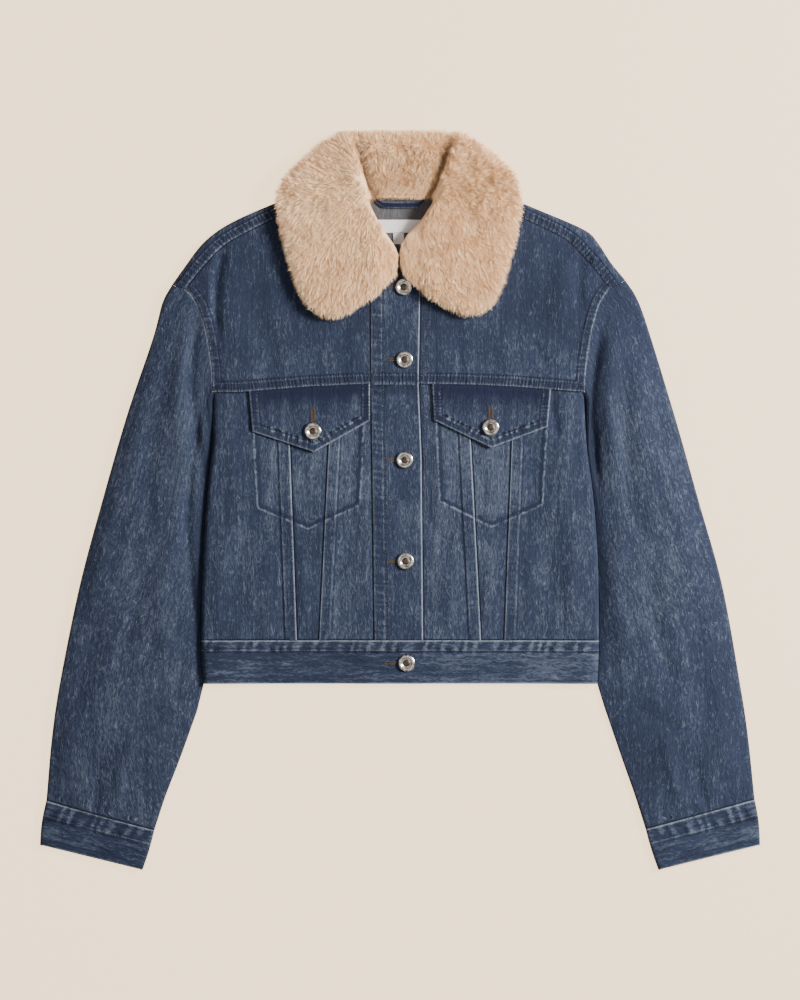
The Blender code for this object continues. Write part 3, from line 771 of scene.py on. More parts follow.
def weave_group() -> bpy.types.NodeTree:
    """Pale crinkled yarns, fine twill and cloudy fading of washed denim."""
    tree, graph, given, out = shader_group(
        "denim_weave", {"Grain": "NodeSocketVector", "Crinkle": "NodeSocketFloat"},
        ("Streak", "Yarn", "Cloud", "Crimp", "Height"))
    plus, minus, times = graph.plus, graph.minus, graph.times
    grain = given.outputs["Grain"]
    sway = graph.add("ShaderNodeTexNoise", {"Vector": grain, "Scale": 95.0, "Detail": 2.0})
    swayed = graph.add("ShaderNodeVectorMath", {0: sway.outputs["Color"], 1: (0.5, 0.5, 0.5)},
                       operation="SUBTRACT")
    pushed = graph.add("ShaderNodeVectorMath", {0: swayed.outputs[0],
                                                "Scale": given.outputs["Crinkle"]},
                       operation="SCALE")
    yarn = graph.add("ShaderNodeVectorMath", {0: grain, 1: pushed.outputs[0]},
                     operation="ADD").outputs[0]
    threads = []
    for scale in ((300.0, 92.0, 1.0), (520.0, 210.0, 1.0)):
        wander = graph.noise(graph.stretch(yarn, scale), 1.0, 1.0)
        threads.append(graph.step(graph.math("ABSOLUTE", minus(wander, 0.5)), 0.06, 0.0))
    gaps = graph.step(graph.noise(graph.stretch(yarn, (240.0, 90.0, 1.0)), 1.0, 2.0), 0.40, 0.62)
    lines = times(graph.math("MAXIMUM", threads[0], times(threads[1], 0.6)), gaps)
    slub = graph.noise(graph.stretch(yarn, (780.0, 190.0, 1.0)), 1.0, 3.0, 0.65)
    broad = graph.noise(graph.stretch(grain, (70.0, 12.0, 1.0)), 1.0, 3.0)
    cloud = graph.noise(grain, 34.0, 3.0, 0.6)
    twill = graph.add("ShaderNodeTexWave", {"Vector": graph.stretch(grain, (1.0, 0.55, 1.0)),
                                            "Scale": 520.0, "Distortion": 1.2, "Detail": 1.0},
                      wave_type="BANDS", bands_direction="DIAGONAL")
    crimp = graph.noise(graph.stretch(yarn, (330.0, 30.0, 1.0)), 1.0, 2.0)
    height = plus(plus(times(lines, 0.5), crimp),
                  plus(times(slub, 0.6), times(twill.outputs["Fac"], 0.15)))
    clouds = plus(times(broad, 0.6), times(cloud, 0.4))
    for key, socket in (("Streak", slub), ("Yarn", lines), ("Cloud", clouds),
                        ("Crimp", crimp), ("Height", height)):
        tree.links.new(socket, out.inputs[key])
    return tree


def seam_group() -> bpy.types.NodeTree:
    """Faded lines, painted shadow lines, stitch rows and roping puckers from the distance to a seam."""
    tree, graph, given, out = shader_group(
        "seam_wear", {"Grain": "NodeSocketVector", "Seam": "NodeSocketVector",
                      "Rope": "NodeSocketVector", "Wear": "NodeSocketFloat"},
        ("Light", "Dark", "Height"))
    plus, minus, times, step = graph.plus, graph.minus, graph.times, graph.step
    parts = graph.add("ShaderNodeSeparateXYZ", {0: given.outputs["Seam"]})
    away, phase, width = (parts.outputs[k] for k in range(3))
    parts = graph.add("ShaderNodeSeparateXYZ", {0: given.outputs["Rope"]})
    ticks, dots, printed = (parts.outputs[k] for k in range(3))
    wear = given.outputs["Wear"]
    felled = step(width, 0.002, 0.004)
    spot = graph.add("ShaderNodeCombineXYZ", {0: times(phase, 0.55), 1: times(away, 330.0)})
    mottle = graph.noise(spot.outputs[0], 1.0, 2.0, 0.6)
    swing = graph.math("SINE", plus(phase, plus(times(away, 160.0), times(mottle, 4.6))))
    patchy = step(graph.noise(graph.stretch(spot.outputs[0], (0.3, 0.35, 1.0)), 1.0, 1.0),
                  0.34, 0.62, 0.3, 1.15)

    def line(distance: Socket, place: object, core: float, reach: float) -> Socket:
        """A soft line where a distance passes a place."""
        return minus(1.0, step(graph.math("ABSOLUTE", minus(distance, place)), core, reach))

    worn = step(mottle, 0.25, 0.55, 0.5, 1.0)
    edge = times(line(away, 0.0003, 0.0005, 0.0017), worn)
    second = times(line(away, minus(width, 0.0012), 0.0002, 0.0014), felled)
    # painted shadow: a dark line in the groove just beyond a felled seam's width
    groove_shadow = times(line(away, plus(width, 0.0008), 0.0002, 0.0014), felled)
    inside = minus(1.0, step(minus(away, width), -0.001, 0.002))
    band = times(times(inside, felled), ticks)
    row = times(line(away, width, 0.0008, 0.0038), dots)
    ropes = times(graph.math("MAXIMUM", band, row), patchy)
    crest, dip = times(ropes, step(swing, 0.1, 0.95)), times(ropes, step(swing, 0.2, -0.9))
    rub = graph.noise(given.outputs["Grain"], 150.0, 3.0, 0.65)
    pressed = plus(printed, times(rub, 0.003))
    rise = times(line(pressed, 0.0018, 0.0003, 0.0019), times(step(rub, 0.36, 0.62), 0.75))
    # painted shade: a dark line beside the ridge that a pocket bag's edge raises
    fall = line(pressed, -0.0012, 0.0004, 0.0032)
    fade = graph.math("MAXIMUM", wear, 0.0)
    # painted shadow: negative wear draws a dark line along the edge instead of a faded one
    painted_edge_shadow = graph.math("MAXIMUM", times(wear, -1.0), 0.0)
    light = plus(plus(rise, times(edge, fade)), plus(times(second, 0.28), times(crest, 0.8)))
    dark = plus(plus(times(fall, 0.5), times(edge, painted_edge_shadow)),
                plus(times(groove_shadow, 0.5), times(dip, 0.9)))
    for key, socket in (("Light", light), ("Dark", dark), ("Height", times(ropes, swing))):
        tree.links.new(socket, out.inputs[key])
    return tree


@dataclass(frozen=True)
class DenimFinish:
    """Washed denim from unfaded indigo to worn-through pale yarn."""

    name: str
    indigo: tuple[float, float, float] = (0.0060, 0.0085, 0.026)
    dark: tuple[float, float, float] = (0.0042, 0.0062, 0.0145)
    blue: tuple[float, float, float] = (0.0172, 0.0242, 0.0485)
    pale: tuple[float, float, float] = (0.130, 0.158, 0.200)
    contrast: float = 0.72
    yarn: float = 0.19
    cloud: float = 0.62
    crimp: float = 0.22
    crinkle: float = 0.004
    roughness: float = 0.9

    def build(self, weave: bpy.types.NodeTree, seams: bpy.types.NodeTree) -> bpy.types.Material:
        """Makes the material.

        Args:
            weave: The yarn group.
            seams: The seam wear group.

        Returns:
            The material.
        """
        material, graph, shader = new_material(self.name, self.roughness)
        grain = graph.add("ShaderNodeUVMap", uv_map="grain").outputs[0]
        seam, rope, look = (graph.add("ShaderNodeAttribute", attribute_name=name).outputs["Vector"]
                            for name in ("seam", "rope", "look"))
        parts = graph.add("ShaderNodeSeparateXYZ", {0: look})
        wear, wash, deep = (parts.outputs[k] for k in range(3))
        cloth = graph.group(weave, {"Grain": grain, "Crinkle": self.crinkle})
        edge = graph.group(seams, {"Grain": grain, "Seam": seam, "Rope": rope, "Wear": wear})
        tone = wash
        # the seam group's Dark output adds painted shadow lines, and the look's middle value brings
        # painted shade in places
        for source, middle, size in ((cloth.outputs["Streak"], 0.5, self.contrast),
                                     (cloth.outputs["Cloud"], 0.5, self.cloud),
                                     (cloth.outputs["Yarn"], 0.0, self.yarn),
                                     (cloth.outputs["Crimp"], 0.5, self.crimp),
                                     (edge.outputs["Light"], 0.0, 0.5),
                                     (edge.outputs["Dark"], 0.0, -0.42)):
            part = graph.times(graph.minus(source, middle), size)
            tone = graph.plus(tone, part)
        tone = graph.plus(tone, 0.43)
        colour = graph.ramp(tone, ((0.0, self.dark), (0.45, self.blue), (1.0, self.pale)))
        bare = graph.times(deep, graph.step(edge.outputs["Light"], 0.7, 0.1))
        colour = graph.blend(bare, colour, (*self.indigo, 1.0))
        height = graph.plus(cloth.outputs["Height"],
                            graph.times(edge.outputs["Height"], 0.8))
        bump = graph.add("ShaderNodeBump", {"Height": height, "Strength": 0.85,
                                            "Distance": 0.0009})
        material.node_tree.links.new(colour, shader.inputs["Base Color"])
        material.node_tree.links.new(bump.outputs[0], shader.inputs["Normal"])
        shader.inputs["Specular IOR Level"].default_value = 0.2
        return material


def new_material(name: str, roughness: float, metallic: float = 0.0) -> tuple[
        bpy.types.Material, Graph, bpy.types.Node]:
    """A material with its graph and its shader."""
    material = bpy.data.materials.new(name)
    material.use_nodes = True
    shader = material.node_tree.nodes["Principled BSDF"]
    shader.inputs["Roughness"].default_value = roughness
    shader.inputs["Metallic"].default_value = metallic
    return material, Graph(material.node_tree), shader


@dataclass(frozen=True)
class PileFinish:
    """Plush pile, warm at the roots and pale at the tips, with painted shade along the collar's folds.
    """

    name: str = "fur_pile"
    root: tuple[float, float, float] = (0.72, 0.48, 0.27)
    body: tuple[float, float, float] = (0.93, 0.645, 0.375)
    tip: tuple[float, float, float] = (0.96, 0.77, 0.52)
    # colour of the painted shade along the collar's folds
    fold: tuple[float, float, float] = (0.30, 0.155, 0.075)

    def build(self, strands: bool) -> bpy.types.Material:
        """Makes the material for the strands or for the backing under them."""
        material, graph, shader = new_material(self.name if strands else self.name + "_base", 0.9)
        place = graph.add("ShaderNodeTexCoord").outputs["Object"]
        cloud = graph.noise(place, 55.0, 3.0, 0.6)
        if strands:
            along = graph.add("ShaderNodeAttribute", attribute_name="tip").outputs["Fac"]
            own = graph.add("ShaderNodeAttribute", attribute_name="tone").outputs["Fac"]
            tone = graph.plus(graph.times(along, 0.5),
                              graph.plus(graph.times(own, 0.16), graph.times(cloud, 0.44)))
        else:
            fine = graph.noise(place, 700.0, 2.0)
            tone = graph.times(graph.plus(cloud, fine), 0.35)
            bump = graph.add("ShaderNodeBump", {"Height": fine, "Strength": 0.6,
                                                "Distance": 0.001})
            material.node_tree.links.new(bump.outputs[0], shader.inputs["Normal"])
        colour = graph.ramp(tone, ((0.05, self.root), (0.5, self.body), (0.95, self.tip)))
        # painted shade: blends towards the fold colour by the shade attribute
        shade = graph.add("ShaderNodeAttribute", attribute_name="shade").outputs["Fac"]
        colour = graph.blend(shade, colour, (*self.fold, 1.0))
        material.node_tree.links.new(colour, shader.inputs["Base Color"])
        shader.inputs["Specular IOR Level"].default_value = 0.15
        return material


@dataclass(frozen=True)
class PlainFinish:
    """A thread, tape or metal with a fine mottle of two near colours."""

    name: str
    first: tuple[float, float, float]
    second: tuple[float, float, float]
    scale: float
    roughness: float
    metallic: float = 0.0
    bump: float = 0.3

    def build(self) -> bpy.types.Material:
        """Makes the material."""
        material, graph, shader = new_material(self.name, self.roughness, self.metallic)
        place = graph.add("ShaderNodeTexCoord").outputs["Object"]
        mottle = graph.noise(place, self.scale, 3.0)
        colour = graph.ramp(mottle, ((0.35, self.first), (0.65, self.second)))
        bump = graph.add("ShaderNodeBump", {"Height": mottle, "Strength": self.bump,
                                            "Distance": 0.0003})
        material.node_tree.links.new(colour, shader.inputs["Base Color"])
        material.node_tree.links.new(bump.outputs[0], shader.inputs["Normal"])
        return material


@dataclass
class Wardrobe:
    """All the finishes, made once."""

    denim: bpy.types.Material = field(init=False)
    sleeve_denim: bpy.types.Material = field(init=False)
    band_denim: bpy.types.Material = field(init=False)
    wrong_side: bpy.types.Material = field(init=False)
    pile: bpy.types.Material = field(init=False)
    backing: bpy.types.Material = field(init=False)
    thread: bpy.types.Material = field(init=False)
    tobacco: bpy.types.Material = field(init=False)
    tape: bpy.types.Material = field(init=False)
    nickel: bpy.types.Material = field(init=False)
    bronze: bpy.types.Material = field(init=False)

    def __post_init__(self) -> None:
        """Builds the shared groups and the materials."""
        weave, seams = weave_group(), seam_group()
        self.denim = DenimFinish("denim").build(weave, seams)
        self.sleeve_denim = DenimFinish("sleeve_denim", crinkle=0.007, cloud=0.4,
                                        crimp=0.3).build(weave, seams)
        self.band_denim = DenimFinish("band_denim", crinkle=0.005, cloud=0.7, crimp=0.6,
                                      yarn=0.08).build(weave, seams)
        self.wrong_side = DenimFinish("denim_wrong_side", indigo=(0.03, 0.032, 0.04),
                                      dark=(0.042, 0.042, 0.046), blue=(0.082, 0.081, 0.086),
                                      pale=(0.13, 0.13, 0.135), contrast=0.7).build(weave, seams)
        self.pile = PileFinish().build(strands=True)
        self.backing = PileFinish().build(strands=False)
        self.thread = PlainFinish("blue_thread", (0.022, 0.026, 0.038), (0.075, 0.082, 0.10),
                                  260.0, 0.7).build()
        self.tobacco = PlainFinish("tobacco_thread", (0.016, 0.010, 0.006), (0.13, 0.085, 0.045),
                                   900.0, 0.65).build()
        self.tape = PlainFinish("label_tape", (0.62, 0.60, 0.60), (0.70, 0.68, 0.68), 1500.0,
                                0.8).build()
        self.nickel = PlainFinish("nickel", (0.30, 0.26, 0.22), (0.88, 0.83, 0.76), 330.0, 0.22,
                                  1.0, 0.05).build()
        self.bronze = PlainFinish("bronze", (0.04, 0.028, 0.02), (0.12, 0.09, 0.066), 900.0, 0.42,
                                  1.0, 0.2).build()

    @property
    def cloth(self) -> tuple[bpy.types.Material, bpy.types.Material]:
        """The right side and the wrong side of the body's denim."""
        return self.denim, self.wrong_side

    @property
    def banded(self) -> tuple[bpy.types.Material, bpy.types.Material]:
        """Both faces of a band whose grain runs along it."""
        return self.band_denim, self.band_denim

    @property
    def folded(self) -> tuple[bpy.types.Material, bpy.types.Material]:
        """Both faces of a folded piece."""
        return self.denim, self.denim


# --- body ---------------------------------------------------------------------------------------


@dataclass
class StitchRow:
    """A row of stitches to be laid on the cloth from above."""

    line: Line
    below_flaps: bool = False


@dataclass
class Body:
    """Back, yokes and front panels, with the placket and the waistband."""

    cut: Cut
    drape: Drape
    wardrobe: Wardrobe
    step: float = 2.6
    rows: list[StitchRow] = field(default_factory=list)
    # x at the chest and at the waistband: outer right, inner right, inner left, outer left
    v_seams: dict = field(default_factory=lambda: {
        Side.RIGHT: ((-117.5, -72.0), (-108.0, -85.0)),
        Side.LEFT: ((119.0, 71.5), (109.0, 85.0))})

    def seam_x(self, side: Side, which: int, y: np.ndarray) -> np.ndarray:
        """Place of a V panel's outer (0) or inner (1) seam at y."""
        top, low = (pair[which] for pair in self.v_seams[side])
        return np.interp(y, (self.cut.band_top, 117.0), (low, top))

    def seam_line(self, side: Side, which: int, shift: float) -> Line:
        """A V panel's seam from the waistband to the chest, moved along X by shift."""
        top = float(self.cut.chest_y(self.seam_x(side, which, 117.0)))
        ys = np.linspace(self.cut.band_top + self.cut.gap / 2, top - self.cut.gap / 2, 40)
        return np.column_stack((self.seam_x(side, which, ys) + shift, ys))

    def build(self) -> None:
        """Makes every piece of the body."""
        self.back_panel()
        self.back_yoke()
        for side in Side:
            self.front_yoke(side)
            self.side_front(side)
            self.v_panel(side)
            self.centre_front(side)
        self.placket()
        self.waistband()

    def radius(self, edge: Line, inset: float = 8.0) -> np.ndarray:
        """Radius of the folded edge that carries the front layer's height there."""
        x = edge[:, 0] - np.sign(edge[:, 0]) * inset
        return (self.drape.under(x, edge[:, 1]) + self.cut.cloth) / 2

    def pocket_print(self, plan: Grid) -> tuple[np.ndarray, np.ndarray]:
        """Relief that the pocket bags' edges leave on the fronts, and the distance to them."""
        height = np.zeros(plan.shape[:2])
        nearest_edge = np.full(plan.shape[:2], FAR)
        for side in Side:
            outline = Pockets.bag_outline(side)
            away, run = nearest(plan, outline)
            uneven = 0.7 + 0.3 * waves(run, 19.0, 2.0 + side.value)[0]
            height += 0.9 * np.exp(-(away / 2.6) ** 2) * uneven
            folds = waves(run + 0.6 * plan[..., 0], 13.0, 4.0 + side.value)[0]
            height += 0.45 * folds * np.exp(-((away - 5) / 5) ** 2) * Pockets.inside(side, plan)
            signed = away * np.where(Pockets.inside(side, plan), -1.0, 1.0)
            nearest_edge = np.where(away < abs(nearest_edge), signed, nearest_edge)
        return height, nearest_edge

    def upper(self, name: str, node: str, plan: Grid, seams: Sequence[Seam],
              wash: np.ndarray | float, thickness: Optional[float] = None,
              folded: bool = False) -> Cloth:
        """A piece of the front layer on its plan grid.

        Args:
            name: The piece.
            node: The solid that it stands for.
            plan: Places, rows by columns.
            seams: Its edges.
            wash: Its own tone, with any painted shade.
            thickness: The wall, if not a single cloth's.
            folded: Whether it is a folded piece, which no pocket shows through.

        Returns:
            The piece, not built yet.
        """
        marks = Marks.read(plan, seams)
        height, marks.print = self.pocket_print(plan)
        low = self.drape.under(plan[..., 0], plan[..., 1])
        thick = (thickness or self.cut.cloth) * rounded(self.rim(plan)) + marks.height
        raised = 0.0 if folded else height
        below = plan[..., 1] < self.cut.chest_y(plan[..., 0])
        wash = wash + Pockets.rubbed(marks.print) * below
        return Cloth(name, (node,), lift(plan, low + raised), lift(plan, low + raised + thick),
                     plan, marks, tinted(plan.shape[:2], wash, 0.0),
                     self.wardrobe.folded if folded else self.wardrobe.cloth,
                     rests_on=("back_panel_cloth",))

    @staticmethod
    def rim(plan: Grid) -> np.ndarray:
        """Distance from each place of a grid to the grid's own border."""
        border = np.vstack((plan[0], plan[1:, -1], plan[-1, ::-1][1:], plan[::-1, 0][1:]))
        thin = resample(border, np.linspace(0, 1, 160))
        corners = np.vstack((plan[0, 0], plan[0, -1], plan[-1, -1], plan[-1, 0]))
        away = nearest(plan, thin)[0]
        for corner in corners:
            away = np.minimum(away, np.linalg.norm(plan - corner, axis=2))
        away[0] = away[-1] = 0.0
        away[:, 0] = away[:, -1] = 0.0
        return away

    def back_panel(self) -> None:
        """The back, flat on the table and rolled up at the sides."""
        low, high = self.cut.band_top + self.cut.gap / 2, self.cut.chest - self.cut.gap / 2
        angles = (-75, -55, -35, -18)
        v = np.linspace(0, 1, 44)
        edge = {side: resample(self.cut.side_line(side, low, high), v) for side in Side}
        out = {side: normals(edge[side]) * side.value for side in Side}
        radius = {side: self.radius(edge[side]) for side in Side}
        flat_edge = {side: edge[side] - out[side] * radius[side][:, None] for side in Side}
        share = np.linspace(0, 1, 66)[None, :, None]
        flat = flat_edge[Side.RIGHT][:, None] * (1 - share) + flat_edge[Side.LEFT][:, None] * share
        ripple = 0.25 * relief(self.hidden_creases(), flat[..., 0], flat[..., 1])
        rolls = {side: roll(edge[side], out[side], angles if side is Side.LEFT else angles[::-1],
                            radius[side], self.cut.cloth) for side in Side}
        grids = []
        for skin, height in ((0, self.cut.cloth), (1, 0.0)):
            middle = lift(flat, height + np.clip(ripple, 0, None))
            grids.append(np.concatenate((rolls[Side.RIGHT][skin], middle, rolls[Side.LEFT][skin]),
                                        axis=1))
        plan = grids[1][..., :2]
        marks = Marks.read(plan, [Seam(plan[0], 11.0, 0.6, 0, 0), Seam(plan[-1], 11.0, 0.7, 0, 0)])
        Cloth("back_panel_cloth", ("back_panel",), grids[0], grids[1], plan, marks,
              tinted(plan.shape[:2], 0.0, 0.0), self.wardrobe.cloth).build()

    @staticmethod
    def hidden_creases() -> tuple[Crease, ...]:
        """Soft ridges in the back, between the places where it rests."""
        return (Crease(-150, 60, -120, -100, 12, 2.4), Crease(-40, 90, -60, -60, 10, 1.8),
                Crease(60, 40, 90, -110, 11, 2.2), Crease(150, 80, 130, -30, 10, 1.7),
                Crease(-100, 250, -60, 150, 10, 1.6), Crease(110, 240, 90, 140, 10, 1.8))

    def back_yoke(self) -> None:
        """The yoke under the shoulders, over their folds and down to the front seams."""
        cut = self.cut
        table = Shoulders()
        v = spread(110.0, False, False, 4.0)
        count = 40
        share = np.linspace(0, 1, count + 1)
        fold = {side: resample(table.fold(side), share) for side in Side}
        seam = {side: resample(table.seam(side), share) for side in Side}
        out = {Side.RIGHT: -normals(fold[Side.RIGHT]), Side.LEFT: normals(fold[Side.LEFT])}
        radius = {side: (self.drape.under(seam[side][:, 0], seam[side][:, 1]) + cut.cloth) / 2
                  for side in Side}
        for line in (fold, seam, out):
            line[Side.LEFT] = line[Side.LEFT][::-1]
        radius[Side.LEFT] = radius[Side.LEFT][::-1]
        inner_edge = {side: fold[side] - out[side] * radius[side][:, None] for side in Side}
        across = np.linspace(inner_edge[Side.RIGHT][-1], inner_edge[Side.LEFT][0], 22)[1:-1]
        across[:, 1] = cut.back_neck
        top = np.vstack((inner_edge[Side.RIGHT], across, inner_edge[Side.LEFT]))
        columns = len(top)
        arm = {side: np.vstack((cut.armhole(side, -cut.gap / 2),
                                inner_edge[side][0 if side is Side.RIGHT else -1]))
               for side in Side}
        place = (top[:, 0] - top[0, 0]) / (top[-1, 0] - top[0, 0])
        low = arm[Side.RIGHT][0] + place[:, None] * (arm[Side.LEFT][0] - arm[Side.RIGHT][0])
        low[:, 1] = cut.chest + cut.gap / 2
        u = np.linspace(0, 1, columns)
        rows = np.stack([resample(arm[side], v) for side in Side])
        flat = ((1 - v)[:, None, None] * low[None] + v[:, None, None] * top[None]
                + (1 - u)[None, :, None] * rows[0][:, None] + u[None, :, None] * rows[1][:, None])
        corners = ((1 - u)[None, :, None] * (1 - v)[:, None, None] * low[0]
                   + u[None, :, None] * (1 - v)[:, None, None] * low[-1]
                   + (1 - u)[None, :, None] * v[:, None, None] * top[0]
                   + u[None, :, None] * v[:, None, None] * top[-1])
        flat = flat - corners
        ripple = 0.25 * np.clip(relief(self.hidden_creases(), flat[..., 0], flat[..., 1]), 0, None)
        ripple *= ease(318 - flat[..., 1], 50, 90)
        skins = [[*lift(flat, cut.cloth + ripple)], [*lift(flat, ripple)]]
        angles = (-60, -30, 0, 30, 60)
        rolls = {side: roll(fold[side], out[side], angles, radius[side], cut.cloth)
                 for side in Side}
        blank = np.zeros((columns - 2 * (count + 1), 3))
        for k in range(len(angles)):
            for skin in (0, 1):
                skins[skin].append(np.vstack((rolls[Side.RIGHT][skin][:, k], blank,
                                              rolls[Side.LEFT][skin][:, k])))
        steps = np.concatenate(([0.0], np.linspace(0.12, 0.84, 9), (0.92, 0.965, 1.0)))
        for share_down in steps:
            parts = {}
            for side in Side:
                plan = inner_edge[side] + share_down * (seam[side] - inner_edge[side])
                high = 2 * radius[side] + 0.9 * math.sin(math.pi * share_down) ** 0.5
                high = high + 0.4 * waves(run_of(plan) + 6 * share_down, 5.2, 1.0)[0] * math.sin(
                    math.pi * share_down)
                edge_drop = 0.5 * max(0.0, 1 - (1 - share_down) * 14)
                parts[side] = (np.column_stack((plan, 2 * radius[side] - cut.cloth)),
                               np.column_stack((plan, high - edge_drop)))
            for skin in (0, 1):
                skins[skin].append(np.vstack((parts[Side.RIGHT][skin], blank,
                                              parts[Side.LEFT][skin])))
        inner, outer = np.array(skins[0]), np.array(skins[1])
        cells = np.ones((len(inner) - 1, columns - 1), dtype=bool)
        cells[len(flat) - 1:, count:columns - 1 - count] = False
        marks = Marks.read(outer[..., :2], [Seam(seam[side], 9.5, 0.7, pitch=5.2, ticks=0.4,
                                                 tint=-0.14) for side in Side])
        marks.distance[:len(flat)] = FAR
        marks.tint[:len(flat)] = 0.0
        Cloth("back_yoke_cloth", ("back_yoke",), inner, outer, outer[..., :2], marks,
              tinted(inner.shape[:2], 0.0, 0.0), self.wardrobe.cloth, cells=cells,
              trims=LOOSE_TRIMS).build()
        for side in Side:
            outward = out[side]
            for inset in (2.2, 8.4):
                self.rows.append(StitchRow(seam[side] + outward * inset))

    def front_yoke(self, side: Side) -> None:
        """The upper front, from the chest seam to the shoulder seam."""
        cut, s = self.cut, side.value
        table = Shoulders()
        arm = cut.armhole(side, -cut.gap / 2)
        seam = table.seam(side)
        seam = seam + normals(seam) * -s * cut.gap
        neckline = table.neckline(side)
        edge = 1 if side is Side.RIGHT else 2
        centre_x = float(cut.placket_x(122.0, edge)) + s * cut.gap
        centre = cut.placket_line(edge, float(cut.chest_y(centre_x)) + cut.gap / 2, cut.neck_top,
                                  s * cut.gap)
        arm[-1] = seam[0]
        neckline[-1] = centre[-1]
        top = np.vstack((seam, neckline[1:]))
        bottom = cut.chest_line(arm[0, 0], centre[0, 0], cut.gap / 2)
        arm[0], centre[0] = bottom[0], bottom[-1]
        u = spread(length_of(bottom), True, True, self.step)
        v = spread(130.0, True, False, self.step)
        plan = patch(bottom, top, arm, centre, u, v)
        # painted shadow: the negative values draw dark lines along the shoulder seam and the centre
        # edge beside the placket
        seams = [Seam(bottom, 10.5, 0.95, 0.9, 0.25, 3.6, ticks=0.42, tint=-0.15),
                 Seam(arm, 8.5, 0.8, 0.6, 0.25, 6.5, ticks=0.3, dots=0.25, tint=-0.06),
                 Seam(seam, 0.0, -0.6), Seam(centre, 0.0, -0.2 if side is Side.RIGHT else -0.9)]
        x, y = plan[..., 0], plan[..., 1]
        wash = 0.03 * np.exp(-((abs(x) - 110) / 60) ** 2) - 0.03 - 0.05 * ease(y, 112, 200)
        self.upper(f"front_yoke_cloth_{side.tag}", f"front_yoke_{side.tag}", plan, seams,
                   wash).build()
        for inset in (2.0, 8.6):
            self.rows.append(StitchRow(bottom + (0.0, inset)))
        for inset in (2.0, 7.6):
            self.rows.append(StitchRow(arm - normals(arm) * s * inset))

    def side_front(self, side: Side) -> None:
        """The outer front panel, which rolls down at the side fold."""
        cut, s = self.cut, side.value
        low, high = cut.band_top + cut.gap / 2, cut.chest - cut.gap / 2
        seam = self.seam_line(side, 0, s * cut.gap / 2)
        v = spread(high - low, True, True, self.step)
        edge = resample(cut.side_line(side, low, high), v)
        out = normals(edge) * s
        radius = self.radius(edge)
        flat_edge = edge - out * radius[:, None]
        u = spread(84.0, True, False, self.step)
        start = resample(seam, v)
        flat = start[:, None] + u[None, :, None] * (flat_edge - start)[:, None]
        top_x = flat[-1, :, 0]
        flat[..., 1] += (v ** 6)[:, None] * (cut.chest_y(top_x) - cut.gap / 2 - flat[-1, :, 1])[None]
        # painted shadow: the negative values draw dark lines along the top under the chest seam and the
        # foot above the waistband
        seams = [Seam(seam, 12.0, 1.0, 0.9, 0.1, 7.0, ticks=0.1, tint=-0.03),
                 Seam(flat[-1], 0.0, -0.9), Seam(flat[0], 0.0, -0.8)]
        marks = Marks.read(flat, seams)
        height = self.pocket_print(flat)[0]
        under = self.drape.under(flat[..., 0], flat[..., 1]) + height
        settle = ease(abs(flat - flat_edge[:, None]).sum(axis=2), 0, 14)
        under = under * settle + (2 * radius - cut.cloth)[:, None] * (1 - settle)
        angles = (72, 54, 36, 18, 0, -12)
        rolled = roll(edge, out, angles, radius, cut.cloth)
        inner = np.concatenate((lift(flat, under), rolled[0]), axis=1)
        outer = np.concatenate((lift(flat, under + cut.cloth * rounded(
            np.minimum(marks.distance, 3.0)) + marks.height), rolled[1]), axis=1)
        plan = outer[..., :2].copy()
        plan[:, flat.shape[1]:, 0] += s * np.linspace(0.5, 8.0, len(angles))[None]
        full = Marks.read(plan, seams)
        full.print = self.pocket_print(plan)[1]
        wash = Pockets.rubbed(full.print)
        Cloth(f"side_front_cloth_{side.tag}", (f"side_front_{side.tag}",), inner, outer, plan,
              full, tinted(plan.shape[:2], wash, 0.0), self.wardrobe.cloth,
              rests_on=("back_panel_cloth",)).build()
        for inset in (2.2, 9.6):
            self.rows.append(StitchRow(seam + (s * inset, 0.0), below_flaps=True))

    def v_panel(self, side: Side) -> None:
        """The tapered panel between the slanting seams."""
        cut, s = self.cut, side.value
        half = s * cut.gap / 2
        lines = [self.seam_line(side, 0, -half), self.seam_line(side, 1, half)]
        if side is Side.LEFT:
            lines.reverse()
        bottom, top = straight(lines[0][0], lines[1][0]), straight(lines[0][-1], lines[1][-1])
        u, v = spread(34.0, False, False, 2.0), spread(length_of(lines[0]), True, False, self.step)
        plan = patch(bottom, top, lines[0], lines[1], u, v)
        # painted shadow: the negative values draw dark lines along both slanting seams, the top under
        # the chest seam and the foot above the waistband
        seams = [Seam(lines[0], 0.0, -1.1), Seam(lines[1], 0.0, -1.1), Seam(plan[-1], 0.0, -0.9),
                 Seam(plan[0], 0.0, -0.8)]
        self.upper(f"v_panel_cloth_{side.tag}", f"v_panel_{side.tag}", plan, seams,
                   0.01 + 0.02 * s).build()

    def centre_front(self, side: Side) -> None:
        """The panel between the inner slanting seam and the placket."""
        cut, s = self.cut, side.value
        edge = 1 if side is Side.RIGHT else 2
        seam = self.seam_line(side, 1, -s * cut.gap / 2)
        top_y = float(cut.chest_y(cut.placket_x(122.0, edge))) - cut.gap / 2
        centre = cut.placket_line(edge, cut.band_top + cut.gap / 2, top_y, s * cut.gap)
        lines = [seam, centre] if side is Side.RIGHT else [centre, seam]
        bottom = straight(lines[0][0], lines[1][0])
        top = cut.chest_line(lines[0][-1, 0], lines[1][-1, 0], -cut.gap / 2)
        top[0], top[-1] = lines[0][-1], lines[1][-1]
        u = spread(52.0, side is Side.RIGHT, side is Side.LEFT, self.step)
        v = spread(length_of(seam), True, True, self.step)
        plan = patch(bottom, top, lines[0], lines[1], u, v)
